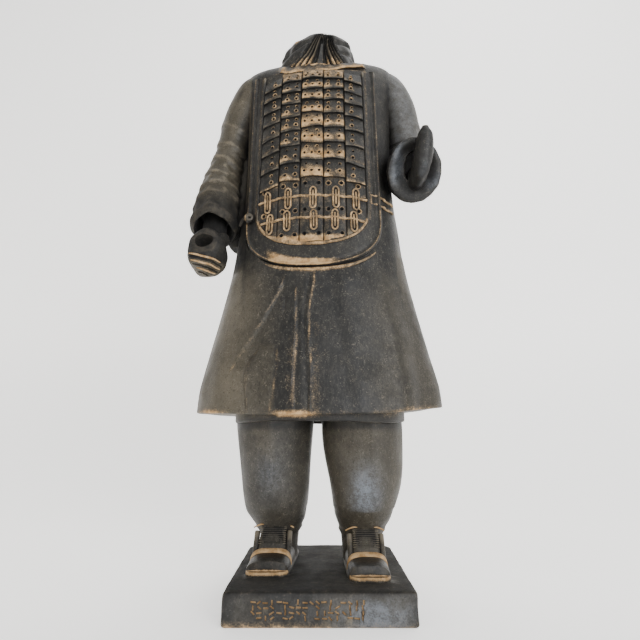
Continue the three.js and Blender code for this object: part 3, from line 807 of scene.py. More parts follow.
def bib_ties():
    """The knot at the bib's left corner and the tie's tab at its right."""
    knot_x, knot_h = -57.6, 267.2
    swirl = np.linspace(0, 1.55 * TAU, 40)
    reach = 1.1 + 1.9 * swirl / swirl[-1]
    x, h = knot_x + reach * np.cos(swirl), knot_h + reach * np.sin(swirl)
    y = float(front_at(np.array([55.0]), np.array([267.0]), 1.0)[0]) - 4.2 - 0.5 * np.cos(reach)
    knot_y = float(y[0])
    core = [[knot_x, knot_y + 6, knot_h, 3.6, 3.6], [knot_x, knot_y + 0.6, knot_h, 3.6, 3.6],
            [knot_x, knot_y - 0.2, knot_h, 1.2, 1.2]]
    tail = [[-60, knot_y + 1, 267.5], [-63.5, knot_y + 3.5, 266.0], [-66, knot_y + 7.5, 263]]
    knot = [tube("knot", np.stack([x, y, h], -1), np.linspace(1.5, 1.2, 40)),
            limb("knot core", core, 8, 20), tube("knot tail", tail, [1.8, 1.5, 1.0])]
    ties = []
    for low, high in ((277.0, 275.5), (284.5, 283.0)):
        x = np.linspace(40.0, 61.0, 22)
        h = low + (high - low) * np.linspace(0, 1, 22) + 0.25 * np.sin(x)
        lift = 3.6 - 2.2 * smoothstep(x, 50, 55)
        y = front_at(x, h, 0.0) - lift
        ties.append(tube("tie", np.stack([x, y, h], -1), 0.9 + 0.25 * np.sin(1.7 * x)))
    x, h = np.full(6, 41.0), np.linspace(277.0, 284.5, 6)
    ties.append(tube("tie end", np.stack([x, front_at(x, h, 0.0) - 3.6, h], -1), 1.0))
    return knot, ties


def back_straps():
    """Two straps cross behind and are tied to a belt."""
    straps = []
    high, low, spread, width, thick = 428.0, 268.0, 44.0, 7.0, 2.0
    for side in (1, -1):
        h = np.linspace(high, low, 60)
        x = side * (spread - 2 * spread * (high - h) / (high - low))
        straps.append(flat_band("strap", x, h, width, thick))
    x = np.linspace(-58, 58, 60)
    straps.append(flat_band("belt", x, np.full_like(x, low) + 1.2 * np.sin(x / 19), width, thick, level=True))
    return straps


def flat_band(name, x, h, width, thick, level=False):
    """A band laid on the back along a line. level says that the line runs across and not down."""
    section = [(-0.5, -3.0), (-0.5, 0.55), (-0.4, 0.9), (-0.15, 1.0), (0.15, 1.0), (0.4, 0.9), (0.5, 0.55),
               (0.5, -3.0)]
    rings = []
    for px, ph in zip(x, h):
        ring = []
        for across, lift in section:
            qx = px + (0 if level else width * across)
            qh = ph + (width * across if level else 0)
            y = float(back_at(np.array([qx]), np.array([qh]), thick * lift)[0])
            ring.append(with_chest(qx, y, qh))
        rings.append(ring)
    return loft(name, rings)


# Limbs: ovals square to their path, as x, y, height, half width, half depth
RIGHT_ARM = [
    [-40, 4, 421, 9, 12],
    [-49, 4, 418, 13, 17],
    [-59, 5, 408, 18, 23],
    [-67, 6, 393, 18.5, 24],
    [-73, 7, 378, 18, 23.5],
    [-78, 7, 357, 16.5, 22.5],
    [-83, 5, 335, 15.5, 21.5],
    [-87.5, 0, 312, 17, 21.5],
    [-89.5, -8, 289, 18.5, 22.5],
    [-89.5, -19, 262, 18.5, 23],
]
LEFT_ARM = [
    [40, 2, 423, 9, 12],
    [50, 2, 420, 13, 17],
    [60, 2, 409, 18.5, 23],
    [68.5, 2, 393, 19, 24.5],
    [73, 3, 378, 18.5, 24],
    [76, 5, 360, 17.5, 23],
    [77.5, 6, 344, 18, 22],
    [78, 1, 330, 19, 21],
    [78, -10, 321, 20, 21],
    [77, -28, 312, 21, 23.5],
    [76, -46, 303, 21.5, 25.5],
]
CUFF_WALL = 3.4
CUFF_RECESS = 17.0


def limb(name, stations, steps, sides, relief=None, mouth=()):
    """An oval skin square to its path. mouth continues past its end: how far on, inwards and upwards."""
    keyed = [[i] + list(row) for i, row in enumerate(stations)]
    last = len(stations) - 1
    t = np.linspace(0, last, steps + 1)
    row = along(keyed, t)
    path = along(keyed, np.minimum(t + 0.05, last))[:, 1:4] - along(keyed, np.maximum(t - 0.05, 0))[:, 1:4]
    path /= np.linalg.norm(path, axis=1)[:, None]
    across = np.cross([1.0, 0.0, 0.0], path)
    across /= np.linalg.norm(across, axis=1)[:, None]
    sideways = np.cross(path, across)
    turn = np.arange(sides) * TAU / sides
    out = np.zeros((steps + 1, sides)) if relief is None else relief(t[:, None], turn[None, :])
    rings = list(row[:, None, 1:4]
                 + sideways[:, None] * ((row[:, 4:5] + out) * np.cos(turn))[..., None]
                 + across[:, None] * ((row[:, 5:6] + out) * np.sin(turn))[..., None])
    for on, inset, rise in mouth:
        wide, deep = row[-1, 4] - inset + out[-1], row[-1, 5] - inset + out[-1]
        rings.append(row[-1, None, 1:4] + path[-1] * on - across[-1] * rise
                     + sideways[-1] * (wide * np.cos(turn))[:, None]
                     + across[-1] * (deep * np.sin(turn))[:, None])
    return loft(name, rings)


def cuff_cut(stations, reach, wall):
    """The hollow in a sleeve's mouth, with a ragged edge."""
    x, y, h, a, b = stations[-1]
    _, y0, h0 = stations[-2][:3]
    length = math.hypot(y - y0, h - h0)
    dy, dh = (y - y0) / length, (h - h0) / length
    def ragged(t, angle):
        return 0.7 * np.sin(4 * angle + 1.4) + 0.4 * np.sin(7 * angle) * smoothstep(t, 0.6, 1.6)
    return limb("cuff cut", [[x, y - dy * reach, h - dh * reach, a - wall - 3, b - wall - 3],
                             [x, y - dy * 3, h - dh * 3, a - wall - 0.6, b - wall - 0.6],
                             [x, y - dy * 1, h - dh * 1, a - wall + 0.4, b - wall + 0.4],
                             [x, y + dy * 5, h + dh * 5, a - wall + 2.5, b - wall + 2.5]], 12, 60, ragged)


def folded(t, angle, centres, slant, reach, depth):
    """Cloth pushed up in stacked folds: each swells downwards and ends in a sharp lower edge."""
    out = 0
    for n, centre in enumerate(centres):
        d = t - centre - slant * np.cos(angle + 0.5 * n) - 0.05 * np.sin(3 * angle + 2.0 * n)
        strength = 0.75 + 0.25 * np.sin(angle + 1.9 * n)
        out = out + depth * strength * smoothstep(d, -reach, -0.02) * (1 - smoothstep(d, 0.0, 0.075))
        out = out - 0.35 * depth * strength * bump(d - 0.11, 0.06)
    return out


def right_arm():
    def relief(t, angle):
        rings = folded(t, angle, (4.7, 5.5, 6.2, 6.85, 7.5, 8.1), 0.20, 0.42, 1.3)
        wavy = 0.9 * np.sin(4 * angle + 1) + 0.7 * np.sin(7 * angle)
        rim = 1.3 * bump(t - 8.82, 0.13) + wavy * smoothstep(t, 8.3, 8.9)
        lumps = 0.55 * np.sin(9 * angle + 3 * t) * np.sin(5 * t) * smoothstep(t, 5.5, 7)
        creases = 0.3 * np.sin(5 * t + 2.2 * angle) * np.sin(17 * t - 5 * angle) * smoothstep(t, 4.5, 6)
        return rings + rim + lumps + creases - 2.2 * smoothstep(t, 8.86, 9.0)
    sleeve = limb("right sleeve", RIGHT_ARM, 116, 66, relief)
    return sleeve, cuff_cut(RIGHT_ARM, CUFF_RECESS, CUFF_WALL)


def left_arm():
    """The cuff's lip is fat and round, deeper below, and falls away inside like a bowl."""
    def relief(t, angle):
        rings = folded(t, angle, (4.6, 5.5, 6.2), 0.12, 0.5, 1.6)
        crumple = 0.6 * np.sin(7 * angle + 5 * t) * smoothstep(t, 5.5, 7) * (1 - smoothstep(t, 9, 9.6))
        rough = 0.35 * np.sin(13 * angle + 9 * t) * np.sin(6 * t - 4 * angle) * smoothstep(t, 7, 8)
        uneven = 0.35 * np.sin(3 * angle + 1) * smoothstep(t, 8, 10)
        return rings + crumple + rough + 0.5 * bump(t - 9.6, 0.3) + uneven
    profile = [(0.8, 0.25, 0), (1.6, 1.0, 0.2), (2.0, 2.2, 0.5), (1.9, 3.8, 0.9), (1.2, 5.6, 1.3),
               (0.2, 7.4, 1.7), (-0.9, 9.2, 2.1), (-1.8, 10.9, 2.5), (-2.2, 12.1, 2.8), (-1.7, 12.9, 3.0),
               (-2.0, 13.4, 3.1), (-3.6, 13.8, 3.1), (-6.0, 14.0, 3.1), (-10, 14.2, 3.1)]
    return limb("left sleeve", LEFT_ARM, 80, 62, relief, profile)


def arm_web():
    """Clay left between the right sleeve and the trunk."""
    return limb("arm web", [[-62, 8, 408, 12, 12], [-66, 10, 350, 12, 13], [-71, 8, 290, 12, 13],
                            [-73, 6.5, 268, 9.5, 12.5], [-73, 6, 259, 8, 11], [-73, 5.5, 254.5, 4.5, 7]], 24, 30)


# The right fist, pierced for a shaft
FIST = np.array([-89.0, -36.0, 237.0])
FIST_AXIS = np.array([0.0, -0.94, 0.342])
FIST_HOLE_DIAMETER = 13.0
FINGER_EDGES = [
    ((-100.2, 231.0), (-77.5, 226.0)),
    ((-98.6, 226.0), (-79.0, 222.2)),
    ((-95.2, 221.6), (-82.6, 219.2)),
]


def around_fist(name, places, sides, shape):
    """Rings round the fist's axis. shape gives the two radii at a place and an angle."""
    up_way = np.cross([1.0, 0.0, 0.0], FIST_AXIS)
    turn = np.arange(sides) * TAU / sides
    rings = []
    for t in places:
        a, b, shift = shape(t, turn)
        centre = FIST + FIST_AXIS * t
        rings.append(centre + (a * np.cos(turn))[:, None] * np.array([1.0, 0, 0])
                     + (b * np.sin(turn) + shift)[:, None] * up_way)
    return loft(name, rings)


def finger_lines(fist):
    """The fingers' edges: three ridges laid across the fist's lower front, and grooves between them."""
    skin = skin_of(fist.data)
    ridges, grooves = [], []
    for (x0, h0), (x1, h1) in FINGER_EDGES:
        x = np.linspace(x0, x1, 20)
        h = np.linspace(h0, h1, 20) - 0.9 * np.sin(np.linspace(0, math.pi, 20))
        for lines, path, radius in ((ridges, laid_on(skin, x, h, 0.0), 0.8),
                                    (grooves, laid_on(skin, x + 0.3, h - 2.1, 0.1), 1.1)):
            if len(path) < 6:
                continue
            swell = np.sin(np.linspace(0.25, 2.9, len(path))) ** 0.4
            lines.append(tube("finger line", path, radius * swell, 8))
    return ridges, grooves


def laid_on(skin, x, h, grow):
    """Points on the skin's front at places given sideways and in height. Places off the skin are left out."""
    points = []
    for px, ph in zip(np.atleast_1d(x), np.atleast_1d(h)):
        hit = skin.ray_cast(Vector((px * MM, -0.2, (ph + PLINTH_HEIGHT) * MM)), Vector((0, 1, 0)))[0]
        if hit is not None:
            points.append([px, hit.y / MM - grow, ph])
    return np.array(points)


def right_fist():
    reach, half_width, half_height = 14.8, 14.8, 16.8

    def shape(t, turn):
        share = t / reach
        body = (1 - abs(0.86 * share) ** 3.4) ** 0.5
        below = smoothstep(np.sin(turn), -0.3, 0.6)
        taper = 1 - 0.10 * below * smoothstep(np.sin(turn), 0.3, 1.0)
        lump = 1 + 0.03 * np.sin(3 * turn + 0.6) + 0.025 * np.sin(5 * turn + 4 * share)
        rough = 0.25 * np.sin(9 * turn + 11 * share) * np.sin(13 * share - 2 * turn)
        return half_width * body * lump * taper + rough, half_height * body * lump + rough, 2.6 * below * body
    fist = around_fist("fist", np.linspace(-reach, reach, 42), 62, shape)
    thumb = limb("thumb", [[-80.5, -20, 254, 5, 6], [-79.8, -32, 248, 5.2, 6.4], [-80.3, -41, 240, 5.2, 6],
                           [-82.5, -46, 232.5, 4.0, 4.6], [-84.5, -47, 228, 2.6, 3]], 30, 28)
    wrist = limb("wrist", [[-90, -9, 286, 10, 10], [-89, -17, 266, 10, 10], [-88, -26, 250, 10, 9.5]], 24, 40)
    radius = FIST_HOLE_DIAMETER / 2

    def bore(t, turn):
        flare = 1 + 0.10 * smoothstep(t, 11, 16) + 0.12 * smoothstep(-t, 11, 16)
        uneven = 1 + 0.10 * np.cos(turn - 2.4) * smoothstep(t, 4, 14) + 0.05 * np.cos(3 * turn + 0.5)
        return radius * flare * uneven, radius * flare * uneven * 0.95, 0 * turn
    return fist, thumb, wrist, around_fist("shaft hole", np.linspace(-24, 24, 40), 48, bore)


LEFT_HAND = [
    [78, -26, 303, 8, 11],
    [79, -42, 300, 7, 11],
    [80, -52, 303, 6.6, 11.5],
    [81.4, -58.5, 312, 7.4, 11],
    [82, -63, 322, 6.3, 8],
    [81.8, -65.5, 330, 2.4, 3],
]


def left_hand():
    """A flat hand on edge, its fingers laid together, with the palm's edge along it."""
    def relief(t, angle):
        lines = -0.5 * bump(np.sin(1.5 * (angle - 0.4)), 0.22)
        lumps = 0.3 * np.sin(3 * t + 2 * angle) + 0.12 * np.sin(11 * t - 3 * angle)
        tip = 1 - smoothstep(t, 4.4, 5)
        edge = 0.8 * bump(np.angle(np.exp(1j * (angle + 0.45))), 0.14) * smoothstep(t, 1.5, 2.5)
        return (0.8 * lines * smoothstep(t, 2, 3) + lumps + edge) * tip
    return limb("left hand", LEFT_HAND, 48, 40, relief)


# The scarf collar: folds fan down from under the chin, and it is rolled at the sides
COLLAR_BASE, COLLAR_TOP, COLLAR_SHIFT, COLLAR_DIP = 406.0, 458.0, -1.5, 5.0
COLLAR = [
    [COLLAR_BASE, 40, 33, 32],
    [418, 39, 34, 32],
    [430, 37, 32, 31],
    [441, 35, 30, 29],
    [450, 33, 27, 28],
    [455.5, 29, 23.5, 25],
    [COLLAR_TOP, 25, 20, 21.5],
]
SOCKET_WIDTH, SOCKET_LENGTH, SOCKET_DEPTH = 40.0, 34.0, 32.0
COLLAR_LEAN = 2.4
SCARF_PEAK = 4.5


def scarf_relief(x, from_front, v):
    """Strands hang from a knot under the chin and spread like a bell; the sides are rolled."""
    t = np.clip((1 - v) / 0.86, 0.02, 1)
    spread = 0.17 + 0.36 * t + 0.47 * t ** 4
    foot = (x - SCARF_PEAK) / spread
    fan = smoothstep(foot, -39, -33) * (1 - smoothstep(foot, 29, 35)) * smoothstep(t, 0.0, 0.04)
    fan = fan * smoothstep(np.cos(from_front), 0.0, 0.2)
    strand = np.cos(TAU * (foot + 1.5) / 6.4 + 0.6 * np.sin(5 * t) + 0.25 * np.sin(foot / 3.0))
    deep = 1.5 + 0.9 * smoothstep(t, 0.03, 0.3)
    fold = deep * (np.abs(strand) ** 0.7 * np.sign(strand) - 0.2)
    lobe = np.abs(foot + 3.5) / 9.5
    open_v = smoothstep(t, 0.24, 0.36) * (1 - smoothstep(lobe, 0.85, 1.1))
    middle = -3.8 + 3.0 * (1 - smoothstep(lobe, 0.30, 0.66)) * smoothstep(t, 0.32, 0.46)
    fold = fold * (1 - open_v) + middle * open_v
    hem = smoothstep(t, 0.93, 0.99)
    fold = fold * (1 - hem) + 0.8 * hem
    roll = 2.0 * np.sin(math.pi * np.clip((v - 0.20) / 0.80, 0, 1)) ** 0.8
    left = from_front < 0
    crease_at = np.where(left, 0.62 + 0.08 * np.cos(3 * from_front), 0.74 - 0.10 * np.cos(2.4 * from_front))
    crease = 2.8 * bump(v - crease_at, 0.05) + 1.4 * bump(v - crease_at + 0.25, 0.04)
    dimple = 3.4 * bump((from_front + 0.95) / 0.20, 1.0) * bump((v - 0.62) / 0.11, 1.0)
    lumps = 0.6 * np.sin(11 * from_front + 7 * v) * np.sin(13 * v)
    return fan * fold + (1 - fan) * (roll - crease - dimple + lumps)


def collar():
    v = np.linspace(0, 1, 60) ** 0.9
    h = COLLAR_BASE + (COLLAR_TOP - COLLAR_BASE) * v
    row = along(COLLAR, h)
    angle = dense_front(180, 0.7)
    c, s = np.cos(angle)[None, :], np.sin(angle)[None, :]
    frontness = np.maximum(-s, 0) ** 2
    from_front = np.arctan2(c, -s) + 0 * h[:, None]
    out = scarf_relief(row[:, 1:2] * c, from_front, v[:, None])
    out = out * (0.35 + 0.65 * smoothstep(-s, -0.4, 0.4)) * (1 - smoothstep(v[:, None], 0.95, 1.0) * 0.6)
    dip = COLLAR_DIP * (1 - frontness)
    dip = dip - 3.2 * bump(from_front - 0.95, 0.42) + 2.2 * bump(from_front + 0.62, 0.16)
    dip = dip - 1.2 * bump(from_front + 1.1, 0.3)
    dip = dip * np.maximum(0, (h[:, None] - 440) / 18)
    depth = np.where(s < 0, row[:, 2:3], row[:, 3:4])
    shift = COLLAR_SHIFT + COLLAR_LEAN * smoothstep(v[:, None], 0.5, 1.0)
    wide = row[:, 1:2] + out - np.where(c > 0, 2.6, 1.2) * (1 - smoothstep(v[:, None], 0.75, 1.0))
    rings = np.stack([shift + wide * c, (depth + out) * s, h[:, None] - dip], -1)
    return loft("collar", rings)


def scarf_foot():
    """The scarf's lower edge lies over the top of the bib, higher at its right end."""
    x = np.linspace(-34, 44, 80)
    share = (x - x[0]) / (x[-1] - x[0])
    low = 404.0 + 7.0 * smoothstep(share, 0.55, 1.0) + 3.0 * (1 - smoothstep(share, 0.0, 0.12))
    low = low + 0.5 * np.sin(x / 3.1)
    section = [(1.0, -1.0), (0.75, 0.8), (0.5, 1.9), (0.25, 2.7), (0.08, 3.3), (0.0, 3.2), (-0.03, 2.8),
               (-0.02, 0.5)]
    front, back = [], []
    for w, lift in section:
        h = low + w * 13
        strands = 0.8 * np.sin(x / 1.6 + 0.8 * np.sin(x / 7)) * smoothstep(w, 0.05, 0.6)
        ends = smoothstep(share, 0.0, 0.05) * (1 - smoothstep(share, 0.95, 1.0))
        front.append(on_chest(x, h, 0.3 + (lift + strands) * ends))
        back.append(on_chest(x, h, -4.0))
    # The underside of the scarf's lower edge takes the gap mark: painted shade under it
    return slab("scarf foot", np.array(front), np.array(back), GAP)


def neck_socket():
    top = COLLAR_TOP
    turn = np.arange(72) * TAU / 72
    levels = [(top - SOCKET_DEPTH, 0), (top - 3.5, 0), (top - 1.5, 0.6), (top, 1.8), (top + 8, 4)]
    return loft("neck socket", [np.stack([COLLAR_SHIFT + (SOCKET_WIDTH / 2 + e) * np.cos(turn),
                                          (SOCKET_LENGTH / 2 + e) * np.sin(turn),
                                          np.full(72, h)], -1) for h, e in levels])


# Trousers, gathered at the ankles: height, x, y, radius
RIGHT_LEG = [
    [4, -31.5, 14, 14],
    [21, -32, 14, 15],
    [24.5, -32.2, 13, 17.5],
    [30, -33.2, 12, 19.4],
    [40, -34.6, 10, 23.6],
    [60, -35.2, 7, 27.2],
    [90, -35.8, 4, 29.7],
    [116, -36.2, 2, 31.2],
]
LEFT_LEG = [
    [4, 32, 4, 14],
    [21, 32, 4, 15.5],
    [24.5, 32.2, 3, 17.7],
    [30, 32.8, 2, 19.2],
    [40, 34, 1, 23],
    [60, 35.7, 0, 28.3],
    [90, 33.8, -1, 31.2],
    [116, 33, -2, 32],
]


def leg(name, stations, side):
    """side is -1 for the figure's right and 1 for its left."""
    h = np.linspace(stations[0][0], stations[-1][0], 60)
    row = along(stations, h)
    turn = np.arange(56) * TAU / 56
    slump = bump(h[:, None] - 34 - 5 * np.cos(turn + 2)[None, :], 5) * 0.8
    slump = slump - bump(h[:, None] - 27.5, 1.5) * 0.8
    seam = -0.9 * bump(np.angle(np.exp(1j * (turn - math.radians(90 + side * 62)))), 0.06)[None, :]
    from_inner = np.angle(np.exp(1j * (turn - math.radians(270 - side * 50))))
    inner = smoothstep(from_inner * side, -0.5, 0.0)[None, :]
    inner = -1.6 * inner * smoothstep(h, 44, 64)[:, None] * (np.cos(turn) * side < 0)[None, :]
    band = 0.6 * smoothstep(h[:, None], 40.5, 42) * (1 - smoothstep(h[:, None], 42, 62))
    soft = 0.5 * np.sin(2 * turn[None, :] + h[:, None] / 13 + side)
    r = row[:, 3:4] + slump + seam + inner + soft + (band if side > 0 else 0.5 * band)
    return loft(name, np.stack([row[:, 1:2] + r * np.cos(turn), row[:, 2:3] + r * 1.04 * np.sin(turn),
                                np.repeat(h[:, None], 56, 1)], -1))


# Square-toed shoes: toe and heel in plan, and half the width
SHOES = [
    {"toe": (-37.8, -34.0), "heel": (-31.5, 42.0), "half": 15.8},
    {"toe": (34.0, -46.0), "heel": (32.5, 31.0), "half": 15.0},
]
# A shoe's skins, as place from toe to heel, share of the half width, height and floor
UPPER = [
    [0.045, 0.80, 5.6, 2.6], [0.05, 0.88, 7.6, 1.6], [0.065, 0.93, 8.9, 0.5], [0.10, 0.95, 9.9, 0.5],
    [0.2, 0.96, 11.2, 0.5], [0.29, 0.97, 12.2, 0.5], [0.45, 0.97, 14, 0.5], [0.62, 0.95, 18, 0.5],
    [0.85, 0.86, 18, 0.5], [0.97, 0.6, 13, 0.5],
]
STRAP = [
    [0.240, 0.90, 11.2, 0.5], [0.246, 0.955, 12.6, 0.5], [0.256, 0.975, 13.3, 0.5], [0.272, 0.98, 13.9, 0.5],
    [0.288, 0.97, 14.0, 0.5], [0.298, 0.94, 12.8, 0.5],
]
TONGUE = [
    [0.275, 0.70, 11.5, 1], [0.30, 0.71, 15.5, 1], [0.345, 0.70, 22.0, 1], [0.385, 0.66, 27.6, 1],
    [0.42, 0.64, 28.8, 1], [0.6, 0.6, 24, 1],
]
TONGUE_SLOPE = [[t, height] for t, _, height, _ in TONGUE[:-1]]


def shoe_place(shoe, t):
    (x0, y0), (x1, y1) = shoe["toe"], shoe["heel"]
    return x0 + (x1 - x0) * t, y0 + (y1 - y0) * t


def shoe_rings(shoe, stations, power_of_arch=3.2, steps=44, sides=34):
    t = np.linspace(stations[0][0], stations[-1][0], steps)
    row = along(stations, t)
    turn = np.linspace(0, math.pi, sides)
    rings = []
    for place, _, width, height, floor in zip(t, *row.T):
        x, y = shoe_place(shoe, place)
        u = power(np.cos(turn), 2 / power_of_arch)
        w = power(np.sin(turn), 2 / power_of_arch)
        rings.append(np.stack([x + u * shoe["half"] * width, np.full(sides, y),
                               floor + w * (height - floor)], -1))
    return rings


def shoe_sole(name, spec):
    half = spec["half"]
    plan = []
    for a in np.linspace(0, TAU, 72, endpoint=False):
        u, t = power(np.cos(a), 0.42), 0.5 + 0.5 * power(np.sin(a), 0.5 if math.sin(a) > 0 else 0.22)
        x, y = shoe_place(spec, t)
        plan.append([x + u * half, y])
    plan = np.array(plan)
    middle = plan.mean(0)
    levels = ((-1.0, 1.0), (2.3, 1.0), (2.9, 0.992), (3.2, 0.975))
    return loft(name + " sole", [np.column_stack([middle + (plan - middle) * k, np.full(len(plan), h)])
                                 for h, k in levels])


def shoe(name, spec):
    """A square-toed shoe. Returns its body and, apart from it, the strap and tie that are rubbed bare."""
    half = spec["half"]
    sole = shoe_sole(name, spec)
    upper = loft(name + " upper", shoe_rings(spec, UPPER))
    strap = loft(name + " strap", shoe_rings(spec, STRAP, 3.6, 30, 40))
    tongue = loft(name + " tongue", shoe_rings(spec, TONGUE, 4.5, 40))
    lines = []
    for n in range(9):
        t = 0.312 + 0.0092 * n
        x, y = shoe_place(spec, t)
        h = along(TONGUE_SLOPE, t)[0, 1] - 0.1
        u = np.linspace(-0.64, 0.64, 14)
        line = np.stack([x + u * half, np.full(14, y - 0.25), h - 1.6 * np.abs(u) ** 3], -1)
        lines.append(tube(name + " line", line, 0.26, 6))
    x, y = shoe_place(spec, 0.385)
    u = np.linspace(-1, 1, 30)
    bow = np.stack([x + u * half * 0.96, y + 3.5 * u ** 2, 29.7 - 3.4 * np.abs(u) ** 3], -1)
    tie = tube(name + " tie", bow, 0.75 - 0.25 * np.abs(u))
    middle = np.array([[*shoe_place(spec, t), h] for t, h in ((0.29, 8.0), (0.34, 16.0), (0.40, 24.0))])
    sides = [tube(name + " side", middle + [side * half * 0.77, 0, 0], 2.1, 12) for side in (-1, 1)]
    return [sole, upper, tongue] + lines + sides, [strap, tie]


# The plinth, with rows of short shallow strokes where an inscription would be
STROKES_FROM, STROKES_TO = -44.0, 29.0
STROKE_ROWS, STROKES_IN_ROW = 4, 18


def plinth():
    w, d, rear, front = PLINTH_WIDTH / 2, PLINTH_DEPTH / 2, 11.0, 2.0
    corners = [(w - rear, d - rear, rear, 0), (-w + rear, d - rear, rear, 1),
               (-w + front, -d + front, front, 2), (w - front, -d + front, front, 3)]
    plan = []
    for cx, cy, r, quarter in corners:
        for a in np.linspace(quarter * math.pi / 2, (quarter + 1) * math.pi / 2, 10):
            plan.append([cx + r * math.cos(a), cy + r * math.sin(a)])
    plan = np.array(plan)
    fine = []
    for n in range(len(plan)):
        a, b = plan[n], plan[(n + 1) % len(plan)]
        pieces = max(1, int(np.linalg.norm(b - a) / 2.5))
        fine += [a + (b - a) * q / pieces for q in range(pieces)]
    fine = np.array(fine)
    levels = [(-PLINTH_HEIGHT, 1.0), (-19.9, 0.35), (-19.0, 0), (-14, 0), (-9, 0), (-4, 0.1), (-1.6, 0.3),
              (-0.5, 0.9), (0.0, 2.0)]
    rings = []
    for h, inset in levels:
        ring = []
        for px, py in fine:
            rough = noise.noise(Vector((px * 0.09, py * 0.09, h * 0.1))) * (0.7 if h > -19 else 0.3)
            k = 1 - (inset + abs(rough)) / w
            lift = 0.35 * noise.noise(Vector((px * 0.05 + 9, py * 0.05, 2.0))) if h > -2 else 0.0
            ring.append([px * k, py * k, min(h + lift, 0.0) if h > -2 else h])
        rings.append(ring)
    for k in (0.9, 0.75, 0.55, 0.3):
        rings.append([[px * k, py * k, 0.3 * noise.noise(Vector((px * k * 0.05, py * k * 0.05, 5.0)))]
                      for px, py in fine])
    return loft("plinth", rings)


def stroke_rows(tree):
    """Four rows of short strokes at mixed slants, sunk into the plinth's front."""
    chance = np.random.default_rng(5)
    places = []
    for row in range(STROKE_ROWS):
        for i in range(STROKES_IN_ROW):
            if (i + 2 * row) % 7 == 6 or i % 5 == 4 and row % 2:
                continue
            x = STROKES_FROM + (STROKES_TO - STROKES_FROM) * (i + 0.5) / STROKES_IN_ROW
            x += chance.uniform(-0.4, 0.4)
            h = -PLINTH_HEIGHT / 2 + 4.4 - 2.95 * row + chance.uniform(-0.3, 0.3)
            slant = math.radians(float(chance.choice([0, 90, 8, -35, 40, 84])) + chance.uniform(-6, 6))
            long = 3.4 if abs(math.sin(slant)) < 0.5 else 2.9
            point = np.array([x, -PLINTH_DEPTH / 2, h])
            places.append((point, (long * MM, 1.6 * MM, 0.95 * MM), (0.0, slant, 0.0)))
    box = [[x, y, z] for x in (-0.5, 0.5) for y in (-0.5, 0.5) for z in (-0.5, 0.5)]
    faces = [[0, 1, 3, 2], [4, 6, 7, 5], [0, 4, 5, 1], [2, 3, 7, 6], [0, 2, 6, 4], [1, 5, 7, 3]]
    return set_on_points("strokes", tree, blank("stroke blank", box, faces), places)
